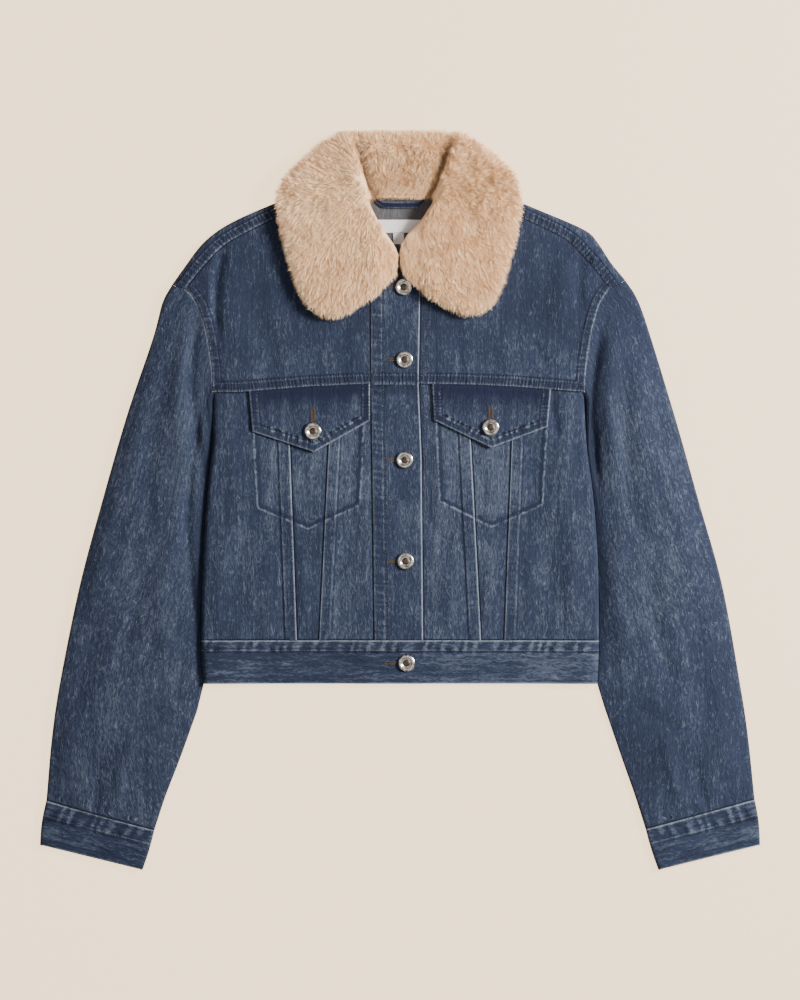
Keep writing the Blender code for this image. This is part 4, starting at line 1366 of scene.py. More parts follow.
        # painted shadow: the negative values draw dark lines beside the placket, above the waistband
        # and under the chest seam
        seams = [Seam(seam, 12.0, 1.0, 0.9, 0.1, 7.0, ticks=0.1, tint=-0.03),
                 Seam(centre, 0.0, -0.2 if side is Side.RIGHT else -1.0),
                 Seam(bottom, 0.0, -0.8), Seam(top, 0.0, -0.9)]
        self.upper(f"centre_front_cloth_{side.tag}", f"centre_front_{side.tag}", plan, seams,
                   0.035).build()
        for inset in (2.2, 9.6):
            self.rows.append(StitchRow(seam - (s * inset, 0.0), below_flaps=True))
        if side is Side.LEFT:
            low, high = centre[0, 1], cut.neck_top
            for shift in (5.0, 11.0):
                self.rows.append(StitchRow(cut.placket_line(2, low, high, shift)))

    def placket(self) -> None:
        """The buttonhole band over the button stand."""
        cut = self.cut
        low = cut.band_top + cut.gap / 2
        sewn, free = (cut.placket_line(edge, low, cut.neck_top, 0.0) for edge in (1, 2))
        u, v = spread(50.0, True, True, 2.4), spread(402.0, True, False, 2.4)
        plan = patch(straight(sewn[0], free[0]), straight(sewn[-1], free[-1]), sewn, free, u, v)
        chest = cut.chest_line(-31.0, 22.0, 0.0)
        seams = [Seam(sewn, 12.5, 0.75, 0.0, 0.22, 7.5, ticks=0.2, dots=0.15, tint=-0.03),
                 Seam(free, 0.0, 1.3)]
        # painted shade: darker on the placket's top where the collar leaves meet above it
        shade = np.exp(-((plan[..., 0] + 1) / 9) ** 2) * ease(plan[..., 1], 222, 240)
        piece = self.upper("buttonhole_placket_cloth", "buttonhole_placket", plan, seams,
                           -0.3 * shade, thickness=cut.double, folded=True)
        marks = piece.marks
        band = plan[..., 1] - cut.chest_y(plan[..., 0])
        before = marks.height.copy()
        over = (band > -1.5) & (band < 12.0) & (marks.distance > 2.6)
        marks.lay(abs(band), plan[..., 0] + 60, Seam(chest, 10.5, 0.8, 0.7, 0.25, 3.6, ticks=0.4,
                                                     tint=-0.13), over)
        piece.outer[..., 2] += np.where(band > -1.5, marks.height - before, 0.0)
        piece.build()
        for shift in (2.0, 13.0):
            self.rows.append(StitchRow(sewn + (shift, 0.0)))
        for rise in (2.0, 8.6):
            self.rows.append(StitchRow(chest + (0.0, rise)))
        stand_x = (-21.0, 33.5)
        ys = np.linspace(low, cut.neck_top, 60)
        stand = np.stack([np.column_stack((np.full(60, x), ys)) for x in
                          np.linspace(*stand_x, 12)], axis=1)
        under = self.drape.under(stand[..., 0], stand[..., 1]) - cut.lay - cut.double
        marks = Marks.read(stand, [Seam(stand[:, 0], 0.0, 0.5)])
        Cloth("button_stand_cloth", ("button_stand",), lift(stand, under),
              lift(stand, under + cut.double), stand, marks, tinted(stand.shape[:2], 0.0, 0.0),
              self.wardrobe.folded, rests_on=("back_panel_cloth",)).build()

    def waistband(self) -> None:
        """One folded strip round the hem, over at the placket and under at its other end."""
        cut = self.cut
        v = spread(45.0, True, True, 2.2)
        ys = cut.hem + v * (cut.band_top - cut.gap / 2 - cut.hem)
        drop = 0.6
        parts: dict[str, tuple[Grid, Grid]] = {}
        over = 2.7
        for side in Side:
            s = side.value
            x_end = 24.3 if side is Side.RIGHT else -19.0
            edge = np.column_stack((cut.side_x(side, ys), ys))
            radius = self.radius(edge) + 0.6 - drop / 2
            out = np.column_stack((np.full(len(ys), float(s)), np.zeros(len(ys))))
            flat_edge = edge - out * radius[:, None]
            x0 = flat_edge[:, 0][:, None]
            u = np.linspace(0, 1, 160)[None]
            xs = x0 + u * (x_end - x0)
            plan = np.dstack((xs, np.broadcast_to(ys[:, None], xs.shape)))
            under = self.drape.under(xs, plan[..., 1]) - drop
            settle = ease(abs(xs - x0), 0, 12)
            under = under * settle + (2 * radius - cut.double)[:, None] * (1 - settle)
            if side is Side.RIGHT:
                under = under + over * ease(xs, -66, -30)
            rolled = roll(edge, out, (60, 30, 0, -30, -60), radius, cut.double)
            parts[side.tag] = (plan, under)
            parts[side.tag + "_roll"] = rolled
            parts[side.tag + "_foot"] = (flat_edge, radius)
        plan_r, under_r = parts["right"]
        plan_l, under_l = parts["left"]
        away = cut.band_top - ys
        back_u = np.linspace(0, 1, 110)[None]
        foot_r, foot_l = parts["right_foot"][0][:, 0][:, None], parts["left_foot"][0][:, 0][:, None]
        back_x = foot_r + back_u * (foot_l - foot_r)
        back_plan = np.dstack((back_x, np.broadcast_to(ys[:, None], back_x.shape)))

        def top(plan: Grid, under: np.ndarray) -> np.ndarray:
            """Upper face of the strip, puckered along its inner allowance."""
            rim = np.minimum(cut.band_top - plan[..., 1], plan[..., 1] - cut.hem)
            full = under + cut.double * rounded(rim, 1.4)
            return full + puckered_allowance(plan[..., 0] + 300, away[:, None], 11.5)

        inner = np.concatenate((
            lift(plan_r[:, ::-1], under_r[:, ::-1]), parts["right_roll"][0],
            lift(back_plan, cut.double), parts["left_roll"][0][:, ::-1],
            lift(plan_l, under_l)), axis=1)
        outer = np.concatenate((
            lift(plan_r[:, ::-1], top(plan_r, under_r)[:, ::-1]), parts["right_roll"][1],
            lift(back_plan, 0.0), parts["left_roll"][1][:, ::-1],
            lift(plan_l, top(plan_l, under_l))), axis=1)
        run = run_of(outer[len(ys) // 2])
        shape = outer.shape[:2]
        grain = np.dstack((np.broadcast_to(ys[:, None], shape),
                           np.broadcast_to(run[None], shape)))
        x_run = np.broadcast_to(outer[..., 0] + 300, shape)
        marks = banded_marks(np.broadcast_to(away[:, None], shape), x_run, 45.3, 11.5)
        Cloth("waistband_cloth", ("waistband",), inner, outer, grain, marks,
              tinted(shape, 0.07 * ease(outer[..., 0], -10, 60), 0.0),
              self.wardrobe.banded).build()
        for side in Side:
            x_far = float(cut.side_x(side, -150.0)) - side.value * 3
            x_near = 24.0 if side is Side.LEFT else 22.5
            for y in (cut.band_top - 2.2, cut.band_top - 10.8):
                self.rows.append(StitchRow(straight((x_far, y), (x_near, y))))


@dataclass(frozen=True)
class Shoulders:
    """Shoulder folds, front shoulder seams and necklines."""

    # fold x, fold y, seam x, seam y
    right: Table = ((-238.6, 226.2, -225.0, 221.3), (-226.0, 244.0, -207.0, 244.0),
                    (-207.0, 269.0, -186.0, 266.0), (-184.0, 287.0, -163.0, 280.0),
                    (-149.0, 304.0, -128.0, 297.0), (-105.0, 321.0, -95.0, 309.0),
                    (-62.0, 331.0, -62.0, 317.0))
    left: Table = ((236.0, 230.6, 219.3, 221.6), (221.0, 249.0, 208.0, 237.0),
                   (208.0, 269.0, 191.0, 257.0), (194.0, 283.0, 173.0, 274.0),
                   (151.0, 302.0, 135.0, 293.0), (105.0, 320.0, 95.0, 309.0),
                   (62.0, 331.0, 62.0, 317.0))
    neck_right: Table = ((-62.0, 317.0), (-50.0, 285.0), (-42.0, 266.0), (-31.4, 255.0))
    neck_left: Table = ((62.0, 317.0), (50.0, 285.0), (38.0, 266.0), (22.4, 255.0))

    def table(self, side: Side) -> Table:
        """The rows of one side."""
        return self.right if side is Side.RIGHT else self.left

    def fold(self, side: Side) -> Line:
        """The shoulder fold from the sleeve to the neck."""
        return smooth_line([row[:2] for row in self.table(side)])

    def seam(self, side: Side) -> Line:
        """The front shoulder seam from the sleeve to the neck."""
        return smooth_line([row[2:] for row in self.table(side)])

    def neckline(self, side: Side) -> Line:
        """The neckline from the shoulder to the placket."""
        return smooth_line(self.neck_right if side is Side.RIGHT else self.neck_left, 30)


@dataclass
class Pockets:
    """Pointed flaps over bags whose edges show through the fronts."""

    cut: Cut
    drape: Drape
    wardrobe: Wardrobe
    rows: list[StitchRow] = field(default_factory=list)

    # top outer, lower outer, point, lower inner, top inner
    FLAPS = {Side.RIGHT: ((-158.0, 112.6), (-154.5, 71.5), (-90.0, 50.0), (-31.4, 83.0),
                          (-31.4, 121.4)),
             Side.LEFT: ((158.0, 114.8), (154.5, 76.5), (95.5, 54.5), (35.5, 83.5),
                         (33.5, 121.4))}
    BAGS = {Side.RIGHT: ((-155.0, 108.0), (-149.0, -8.0), (-96.0, -30.0), (-42.0, -5.0),
                         (-37.0, 112.0)),
            Side.LEFT: ((155.0, 108.0), (149.0, -5.0), (95.5, -28.0), (42.0, -1.0),
                        (37.0, 112.0))}

    @staticmethod
    def inside(side: Side, plan: Grid) -> np.ndarray:
        """Which places of a grid lie over a pocket bag."""
        top_outer, low_outer, point, low_inner, top_inner = Pockets.BAGS[side]
        x, y = abs(plan[..., 0]), plan[..., 1]
        outer = np.interp(y, (low_outer[1], top_outer[1]), (abs(low_outer[0]), abs(top_outer[0])))
        inner = np.interp(y, (low_inner[1], top_inner[1]), (abs(low_inner[0]), abs(top_inner[0])))
        low = np.interp(x, (abs(low_inner[0]), abs(point[0]), abs(low_outer[0])),
                        (low_inner[1], point[1], low_outer[1]))
        return (x < outer) & (x > inner) & (y > low) & (np.sign(plan[..., 0]) == side.value)

    @staticmethod
    def rubbed(beyond: np.ndarray) -> np.ndarray:
        """Extra fading over a bag, from the signed distance beyond its edge."""
        return 0.065 * ease(-beyond, -3, 20)

    @staticmethod
    def bag_outline(side: Side) -> Line:
        """The sides and the pointed bottom of a pocket bag."""
        corners = [np.array(corner) for corner in Pockets.BAGS[side]]
        return np.vstack([straight(a, b, 20) for a, b in zip(corners, corners[1:])])

    def pointed(self, corners: Sequence[Sequence[float]], u: np.ndarray, v: np.ndarray) -> Grid:
        """A grid over a shape whose lower edge comes to a point at the middle column."""
        top_outer, low_outer, point, low_inner, top_inner = (np.array(c) for c in corners)
        low = np.vstack((straight(low_outer, point), straight(point, low_inner)[1:]))
        run = run_of(low)
        bend = run[40] / run[-1]
        shares = np.where(u < 0.5, u * 2 * bend, bend + (u - 0.5) * 2 * (1 - bend))
        across = top_outer + shares[:, None] * (top_inner - top_outer)
        across[:, 1] = self.cut.chest_y(across[:, 0]) - self.cut.gap
        first = low_outer + v[:, None] * (across[0] - low_outer)
        last = low_inner + v[:, None] * (across[-1] - low_inner)
        edge = resample(low, shares)
        lines = (1 - v)[:, None, None] * edge[None] + v[:, None, None] * across[None]
        lines[:, 0], lines[:, -1] = first, last
        return lines

    def build(self) -> None:
        """Makes both bags and both flaps."""
        for side in Side:
            self.bag(side)
            self.flap(side)

    def bag(self, side: Side) -> None:
        """A bag inside the front, close under it."""
        cut = self.cut
        plan = self.pointed(self.BAGS[side], np.linspace(0, 1, 21), np.linspace(0, 1, 16))
        high = self.drape.under(plan[..., 0], plan[..., 1]) - cut.lay
        marks = Marks.read(plan, [Seam(plan[0], 0.0, 0.3)])
        Cloth(f"pocket_bag_cloth_{side.tag}", (f"pocket_bag_{side.tag}",), lift(plan, high - 1.0),
              lift(plan, high), plan, marks, tinted(plan.shape[:2], 0.1, 0.0),
              self.wardrobe.cloth, rests_on=("back_panel_cloth",)).build()

    def flap(self, side: Side) -> None:
        """A faced flap with a double row of stitching and worn edges."""
        cut = self.cut
        half = spread(64.0, True, False, 2.2) / 2
        u = np.concatenate((half, 1 - half[::-1][1:]))
        v = spread(50.0, True, False, 2.2)
        plan = self.pointed(self.FLAPS[side], u, v)
        low_edge, first, last = plan[0], plan[:, 0], plan[:, -1]
        lower = Seam(low_edge, 8.4, 1.1, 0.0, 0.30, 7.6, ticks=0.25, dots=0.95, tint=-0.06)
        flank = {"wear": 0.9, "pucker": 0.15, "pitch": 4.0, "ticks": 0.3, "tint": -0.05}
        # painted shadow: the negative value draws a dark line along the flap's top under the chest seam
        seams = [lower, Seam(first, 8.4, **flank), Seam(last, 8.4, **flank),
                 Seam(plan[-1], 0.0, -0.8)]
        marks = Marks.read(plan, seams)
        x, y = plan[..., 0], plan[..., 1]
        tip = np.array(self.FLAPS[side][2])
        from_tip = np.linalg.norm(plan - tip, axis=2)
        raise_tip = 1.5 * np.exp(-(from_tip / 26) ** 2)
        under = self.drape.under(x, y) + cut.cloth + 1.3 + raise_tip
        away = np.minimum(marks.distance, 60)
        thick = cut.flap * rounded(away, 1.3) - 0.35 * np.exp(-((away - 8.8) / 1.4) ** 2)
        below_seam = cut.chest_y(x) - y
        patchy = 0.5 + 0.5 * waves(x + 400, 21.0, 3.1 + side.value)[0]
        deep = 0.95 * np.exp(-(np.clip(below_seam - 5, 0, None) / (9 + 17 * patchy)) ** 2)
        edges = np.exp(-((away - 4.5) / 3.2) ** 2)
        sides = ease(y, 70, 84)
        deep = np.clip(deep + 0.42 * edges * sides, 0, 0.92)
        wash = 0.02 - 0.05 * edges
        Cloth(f"pocket_flap_cloth_{side.tag}", (f"pocket_flap_{side.tag}",), lift(plan, under),
              lift(plan, under + thick + marks.height), plan, marks,
              tinted(plan.shape[:2], wash, deep), self.wardrobe.folded,
              rests_on=(f"side_front_cloth_{side.tag}", f"centre_front_cloth_{side.tag}")).build()
        for inset in (1.9, 8.2):
            self.rows.append(StitchRow(self.inset_outline(side, inset)))

    def inset_outline(self, side: Side, inset: float) -> Line:
        """The flap's free edges, moved inwards."""
        corners = [np.array(corner) for corner in self.FLAPS[side]]
        middle = sum(corners) / len(corners)
        lines = []
        for a, b in zip(corners, corners[1:]):
            along = (b - a) / np.linalg.norm(b - a)
            inward = np.array((along[1], -along[0]))
            if np.dot(middle - a, inward) < 0:
                inward = -inward
            lines.append((a + inward * inset, along))
        places = [lines[0][0]]
        for (p, d), (q, e) in zip(lines, lines[1:]):
            share = np.linalg.solve(np.column_stack((d, -e)), q - p)[0]
            places.append(p + share * d)
        places[0] = places[0] + lines[0][1] * 1.0
        places.append(corners[-1] + (lines[-1][0] - corners[-2]) - lines[-1][1] * 1.0)
        return np.vstack([straight(a, b, 16) for a, b in zip(places, places[1:])])


# --- sleeves ------------------------------------------------------------------------------------


@dataclass
class Sleeve:
    """A flattened sleeve and its cuff."""

    side: Side
    cut: Cut
    drape: Drape
    wardrobe: Wardrobe
    crown: float = 6.6
    inner_height: float = 4.2
    tuck: float = -0.3
    outer_height: float = 8.6
    rows: list[StitchRow] = field(default_factory=list)

    OUTER = {Side.RIGHT: ((-238.7, 226.0), (-249.0, 207.0), (-259.0, 170.0), (-286.0, 90.0),
                          (-312.0, 0.0), (-336.0, -90.0), (-356.0, -188.0), (-365.0, -248.0),
                          (-371.0, -315.0)),
             Side.LEFT: ((236.1, 230.4), (248.0, 212.0), (260.0, 180.0), (289.0, 85.0),
                         (313.0, 0.0), (338.0, -90.0), (357.0, -195.0), (365.0, -248.0),
                         (372.0, -314.0))}
    INNER = {Side.RIGHT: ((-213.0, -222.0), (-231.0, -272.0), (-246.0, -311.0),
                          (-257.5, -346.0)),
             Side.LEFT: ((214.5, -218.0), (233.0, -272.0), (246.0, -309.0), (257.5, -345.0))}
    CUFF = {Side.RIGHT: ((-377.6, -362.0), (-270.0, -388.0)),
            Side.LEFT: ((377.6, -362.0), (271.0, -388.0))}
    # x0, y0, x1, y1, width, height
    CREASES = {
        Side.RIGHT: (Crease(-212, 200, -204, 20, 6, -2.3), Crease(-206, 110, -209, -150, 5, -2.2),
                     Crease(-222, 178, -226, 30, 10, 1.6),
                     Crease(-262, 150, -284, 30, 12, 1.4), Crease(-240, 130, -262, -40, 9, -1.2),
                     Crease(-290, 20, -322, -120, 13, 1.2), Crease(-232, -20, -246, -170, 11, 1.6),
                     Crease(-262, -60, -284, -210, 10, -1.3), Crease(-310, -120, -336, -250, 12, -1.2),
                     Crease(-244, -220, -286, -238, 9, -1.0), Crease(-330, -210, -352, -300, 11, 1.2),
                     Crease(-276, -240, -296, -322, 7, 1.3), Crease(-312, -270, -318, -326, 6, -1.2)),
        Side.LEFT: (Crease(213, 190, 209, 0, 5.5, -2.7), Crease(208, 90, 211, -150, 5, -2.2),
                    Crease(226, 180, 230, 20, 10, 1.8),
                    Crease(250, 150, 272, 20, 12, 1.5), Crease(238, 120, 256, -50, 9, -1.3),
                    Crease(288, 30, 318, -110, 13, 1.3), Crease(228, -30, 242, -170, 11, 1.6),
                    Crease(262, -60, 288, -200, 10, -1.4), Crease(306, -110, 334, -250, 12, -1.2),
                    Crease(246, -214, 292, -240, 9, -1.1), Crease(330, -200, 352, -298, 11, 1.3),
                    Crease(278, -240, 296, -318, 7, 1.3), Crease(310, -268, 322, -322, 6, -1.2))}

    def build(self) -> None:
        """Makes the sleeve and then its cuff."""
        cut, s = self.cut, self.side.value
        rows = 150
        share = np.concatenate((np.linspace(0, 0.955, rows - 12), np.linspace(0.96, 1, 13)))
        body = cut.side_line(self.side, cut.hem, cut.chest, outset=self.tuck)[::-1]
        body[:, 0] -= s * 3.8 * np.exp(-((cut.chest - body[:, 1]) / 5) ** 2)
        inner = resample(np.vstack((body, smooth_line(self.INNER[self.side]))), share)
        outer = resample(smooth_line(self.OUTER[self.side]), share)
        inner_out, outer_out = normals(inner) * s, normals(outer) * -s
        inner_out[0] = (-s, 0.0)
        for turn in (inner_out, outer_out):
            for k in (0, 1):
                turn[1:-1, k] = np.convolve(turn[:, k], (0.25, 0.5, 0.25), mode="same")[1:-1]
            turn /= np.linalg.norm(turn, axis=1)[:, None]
        outer_out[0] = normals(Shoulders().fold(self.side))[0] * s
        start = (float(self.drape.under(s * 190.0, 113.0)) + cut.cloth) / 2
        tip = (float(self.drape.under(s * 222.0, 221.0)) + cut.cloth) / 2
        open_up = ease(share, 0.0, 0.16)
        wrist = ease(share, 0.8, 1.0)
        r_in = start + (self.inner_height / 2 - start) * open_up
        r_out = tip + (self.outer_height / 2 - tip) * open_up
        r_in = r_in + (3.1 - r_in) * wrist
        r_out = r_out + (3.1 - r_out) * wrist
        flat_in = inner - inner_out * r_in[:, None]
        flat_out = outer - outer_out * r_out[:, None]
        arm = cut.armhole(self.side, cut.gap / 2)
        head = np.vstack((flat_in[0], arm[1:], flat_out[0]))
        columns = 46
        u = np.linspace(0, 1, columns)
        head = resample(head, u)
        chord = head[0] + u[:, None] * (head[-1] - head[0])
        fade = (np.clip(1 - share / 0.6, 0, 1) ** 1.5)[:, None, None]
        plan = (flat_in[:, None] + u[None, :, None] * (flat_out - flat_in)[:, None]
                + fade * (head - chord)[None])
        x, y = plan[..., 0], plan[..., 1]
        joined = self.drape.under(x, y) + cut.cloth
        rise = np.sin(u * math.pi) ** 0.75 * (0.8 + 0.25 * u)
        flat_top = 2 * (r_in[:, None] * (1 - u) + r_out[:, None] * u)
        free = flat_top + self.crown * rise[None] * (open_up * (1 - 0.75 * wrist))[:, None]
        grow = ease(share, 0.0, 0.10)[:, None]
        fall = ease(np.minimum(u, 1 - u), 0.0, 0.09)[None]
        joined = joined * fall + flat_top * (1 - fall)
        top = joined * (1 - grow) + free * grow
        top = top + 1.6 * relief(self.CREASES[self.side], x, y) * fall
        gather = np.exp(-((1 - share) * 560 / 16) ** 2)[:, None]
        across = np.linalg.norm(plan - plan[:, :1], axis=2)
        top = top + 1.0 * waves(across + 9, 8.5, 1.7)[0] * gather * fall * (1 - ease(
            share, 0.993, 1.0))[:, None]
        angles = (-70, -45, -20, 0, 20, 45, 70)
        outer_roll = roll(outer, outer_out, angles, r_out, cut.cloth)
        inner_roll = roll(inner, inner_out, angles[::-1], r_in, cut.cloth)
        top = np.maximum(top, 2.9 * cut.cloth)
        grids = []
        for skin, (low, high) in enumerate(((cut.cloth, top - cut.cloth), (0.0, top))):
            grids.append(np.concatenate((lift(plan, low), outer_roll[skin],
                                         lift(plan[:, ::-1], high[:, ::-1]), inner_roll[skin]),
                                        axis=1))
        inner_skin, outer_skin = grids
        around = run_of(outer_skin, axis=1)
        around = around - around[:, columns // 2:columns // 2 + 1]
        run = share[:, None] * 560 * np.ones_like(around)
        grain = np.dstack((around, run))
        places = outer_skin[..., :2]
        marks = Marks.read(places)
        away, along = nearest(places, arm)
        marks.lay(away, along, Seam(head, 0.0, 0.6 if s < 0 else 0.2), run < 60)
        # painted shadow: a dark line at the sleeve's end, where the cuff meets it
        marks.lay((1 - share[:, None]) * 560, around, Seam(head, 0.0, -0.8), run > 530)
        centre = np.exp(-((around - around[:, columns + 7:columns + 8]
                           - np.ptp(around, axis=1)[:, None] * 0.22) / 46) ** 2)
        low_fade = (0.035 + 0.035 * s) * ease(share, 0.55, 0.8)[:, None]
        from_body = np.linalg.norm(places - inner[:, None], axis=2)
        # painted shade: darker in the valley beside the body's side, fading out down the sleeve
        painted_valley_shade = np.exp(-(from_body / 9) ** 2) * (1 - ease(run, 290, 380))
        # painted shade: darker at the head of the left sleeve
        head_shade = 0.05 * (1 + s) * (1 - ease(share, 0.0, 0.26))[:, None]
        wash = 0.04 * centre - low_fade - 0.28 * painted_valley_shade - head_shade
        name = f"sleeve_cloth_{self.side.tag}"
        Cloth(name, (f"sleeve_{self.side.tag}",), inner_skin, outer_skin, grain, marks,
              tinted(wash.shape, wash, 0.0),
              (self.wardrobe.sleeve_denim, self.wardrobe.wrong_side), wrap=True).build()
        self.cuff(inner[-1], outer[-1])

    def cuff(self, inner_top: np.ndarray, outer_top: np.ndarray) -> None:
        """The folded band round the end of the sleeve."""
        cut, s = self.cut, self.side.value
        outer_low, inner_low = (np.array(corner) for corner in self.CUFF[self.side])
        down = (inner_low - inner_top) / np.linalg.norm(inner_low - inner_top)
        depth, bend, allowance = 44.0, 3.4, 16.5
        v = spread(depth, True, True, 2.2)
        inner = resample(straight(inner_top + down * cut.gap, inner_low), v)
        outer = resample(straight(outer_top + down * cut.gap, outer_low), v)
        outer[:, 0] += s * 1.5 * np.sin(v * math.pi)
        inner[:, 0] -= s * 0.8 * np.sin(v * math.pi)
        inner_out, outer_out = normals(inner) * s, normals(outer) * -s
        radius = np.full(len(v), bend)
        flat_in, flat_out = inner - inner_out * bend, outer - outer_out * bend
        u = np.linspace(0, 1, 74)
        plan = flat_in[:, None] + u[None, :, None] * (flat_out - flat_in)[:, None]
        away = v * depth
        across = np.linalg.norm(plan - plan[:, :1], axis=2)
        fall = ease(np.minimum(u, 1 - u), 0.0, 0.08)[None]
        rim = np.minimum(away, depth - away)[:, None]
        sag = 0.5 * np.sin(u * math.pi * 2.3 + 0.6)[None] * np.sin(v * math.pi)[:, None]
        pucker = puckered_allowance(across + 20 * (2 + s), away[:, None], allowance)
        top = 2 * bend + (sag + pucker) * fall - cut.cuff * 0.4 * (1 - ease(rim, 0, 1.4))
        angles = (-60, -30, 0, 30, 60)
        outer_roll = roll(outer, outer_out, angles, radius, cut.cuff)
        inner_roll = roll(inner, inner_out, angles[::-1], radius, cut.cuff)
        grids = []
        for skin, (low, high) in enumerate(((cut.cuff, 2 * bend - cut.cuff), (0.0, top))):
            high = np.broadcast_to(high, plan.shape[:2])
            grids.append(np.concatenate((lift(plan, low), outer_roll[skin],
                                         lift(plan[:, ::-1], high[:, ::-1]), inner_roll[skin]),
                                        axis=1))
        shape = grids[1].shape[:2]
        around = run_of(grids[1], axis=1)
        grain = np.dstack((np.broadcast_to(away[:, None], shape), around))
        marks = banded_marks(np.broadcast_to(away[:, None], shape), around, depth, allowance)
        Cloth(f"cuff_cloth_{self.side.tag}", (f"cuff_{self.side.tag}",), grids[0], grids[1], grain,
              marks, tinted(shape, 0.0, 0.0), self.wardrobe.banded, wrap=True).build()
        for inset in (2.2, 15.6):
            start, end = inner_top + down * inset, outer_top + down * inset
            lean = (end - start) / np.linalg.norm(end - start)
            self.rows.append(StitchRow(straight(start + lean * 3, end - lean * 3)))


# --- collar -------------------------------------------------------------------------------------


@dataclass
class Collar:
    """A plush collar: a padded backing under many tapered strands."""

    cut: Cut
    wardrobe: Wardrobe
    inset: float = 4.6
    neck_inset: float = 1.4
    end_inset: float = 1.7
    top: float = 18.5
    band_top: float = 14.5
    fold_drop: float = 9.0
    per_area: float = 2.5e6
    length: float = 7.6
    width: float = 0.62

    # where the leaves fold over the band at the back of the neck
    FOLDS = {Side.RIGHT: ((-50.0, 392.0), (-47.0, 378.0), (-44.0, 362.0), (-36.5, 338.0),
                          (-28.5, 314.0), (-22.0, 300.0)),
             Side.LEFT: ((58.0, 392.0), (55.0, 378.0), (51.0, 364.0), (43.0, 341.0),
                         (32.0, 316.0), (25.0, 300.0))}
    OUTER: Table = ((-86.0, 196.0), (-101.0, 208.0), (-111.0, 230.0), (-123.0, 272.0),
                    (-129.5, 305.0), (-128.0, 325.0), (-115.0, 344.0), (-93.0, 365.0),
                    (-74.0, 379.0), (-58.0, 384.3), (0.0, 385.6), (56.0, 384.8), (74.0, 380.0),
                    (92.0, 367.0), (118.0, 343.0), (127.5, 318.0), (125.0, 290.0), (118.0, 260.0),
                    (107.0, 222.0), (96.0, 204.0))
    NECK: Table = ((-2.2, 246.0), (-2.2, 262.0), (-14.0, 280.0), (-25.0, 298.0), (-30.0, 315.0),
                   (0.0, 317.0), (33.0, 315.0), (27.0, 301.0), (18.0, 289.0), (6.0, 277.0),
                   (-0.8, 262.0), (-0.3, 246.0))
    ENDS = {Side.RIGHT: ((-2.6, 246.0), (-7.5, 232.0), (-43.0, 207.0), (-66.0, 194.5),
                         (-86.0, 196.0)),
            Side.LEFT: ((0.3, 246.0), (11.5, 228.5), (55.0, 203.0), (76.0, 197.0),
                        (96.0, 204.0))}

    def plan(self, u: np.ndarray, v: np.ndarray) -> Grid:
        """The collar's grid from its neck edge to its outer edge, rows by columns."""
        outer, neck = resample(smooth_line(self.OUTER), u), resample(smooth_line(self.NECK), u)
        grid = neck[None] + v[:, None, None] * (outer - neck)[None]
        for side, first in ((Side.RIGHT, True), (Side.LEFT, False)):
            end = resample(smooth_line(self.ENDS[side]), v)
            place = 0 if first else -1
            chord = neck[place] + v[:, None] * (outer[place] - neck[place])
            away = u if first else 1 - u
            near = np.clip(1 - away * 44 / 9.0, 0, 1) ** 1.6
            grid += near[None, :, None] * (end - chord)[:, None]
        return grid

    def back_edge(self, x: np.ndarray) -> np.ndarray:
        """Upper edge of the yoke at x."""
        table = Shoulders()
        places = [row[:2] for row in table.right] + [(-40.0, 318.0), (40.0, 318.0)]
        places += [row[:2] for row in table.left[::-1]]
        return np.interp(x, [p[0] for p in places], [p[1] for p in places])

    def build(self) -> bpy.types.Object:
        """Makes the backing and grows the pile on it.

        Returns:
            The backing.
        """
        u, v = np.linspace(0, 1, 189), np.linspace(0, 1, 33)
        plan = self.plan(u, v)
        across = self.pull(plan, plan[16:17])
        x, y = across[..., 0], across[..., 1]
        on_placket = np.clip((62 - abs(x)) / 20, 0, 1) * np.clip((290 - y) / 20, 0, 1)
        low = 6.9 + 1.3 * on_placket
        low = low * (1 - np.clip((y - self.back_edge(x) - 10) / 22, 0, 1))
        within = self.within_folds(x, y)
        low = low - (low - 1.7) * ease(within, 0, 8) * ease(y, 300, 312)
        band = ease(within, -5, 3) * ease(y, 300, 320) * (1 - ease(y, 364, 382))
        lumps = 0.8 * np.sin(x / 13.0 + 1.3 * np.sin(y / 17.0)) * np.sin(y / 15.0 + 0.7)
        lumps += 0.5 * np.sin(x / 6.1 + 2.0 * np.sin(y / 9.0)) * np.sin(y / 8.3 + 1.1)
        leaf = self.top + 2.0 * np.exp(-((within + 9) / 8) ** 2)
        inner_band = self.band_top - self.fold_drop * np.exp(-(within / 9) ** 2)
        high = leaf * (1 - band) + inner_band * band + lumps
        round_v = 1 - abs(2 * v[:, None] - 1) ** 3.2
        ends = np.minimum(u, 1 - u)[None] * 44 / 3.4
        round_u = 1 - (1 - np.clip(ends, 0, 1)) ** 2.6
        body = 0.16 + 0.84 * np.sqrt(np.clip(round_v * round_u, 0, 1))
        centre, half = (low + high) / 2, (high - low) / 2
        inner, outer = lift(across, centre - half * body), lift(across, centre + half * body)
        shape = across.shape[:2]
        marks = Marks.read(across)
        cloth = Cloth("collar_backing", ("collar_fur",), inner, outer, across, marks,
                      tinted(shape, 0.0, 0.0), (self.wardrobe.backing, self.wardrobe.backing),
                      rests_on=("front_yoke_cloth_right", "front_yoke_cloth_left"), slot="fur")
        backing = cloth.build()
        self.grow(backing)
        return backing

    def within_folds(self, x: np.ndarray, y: np.ndarray) -> np.ndarray:
        """Distance inside the two folds at each place, negative on the leaves."""
        found = np.full(np.shape(x), 99.0)
        for side, points in self.FOLDS.items():
            line = smooth_line(points[::-1], 40)
            found = np.minimum(found, side.value * np.interp(y, line[:, 1], line[:, 0])
                               - side.value * x)
        return found

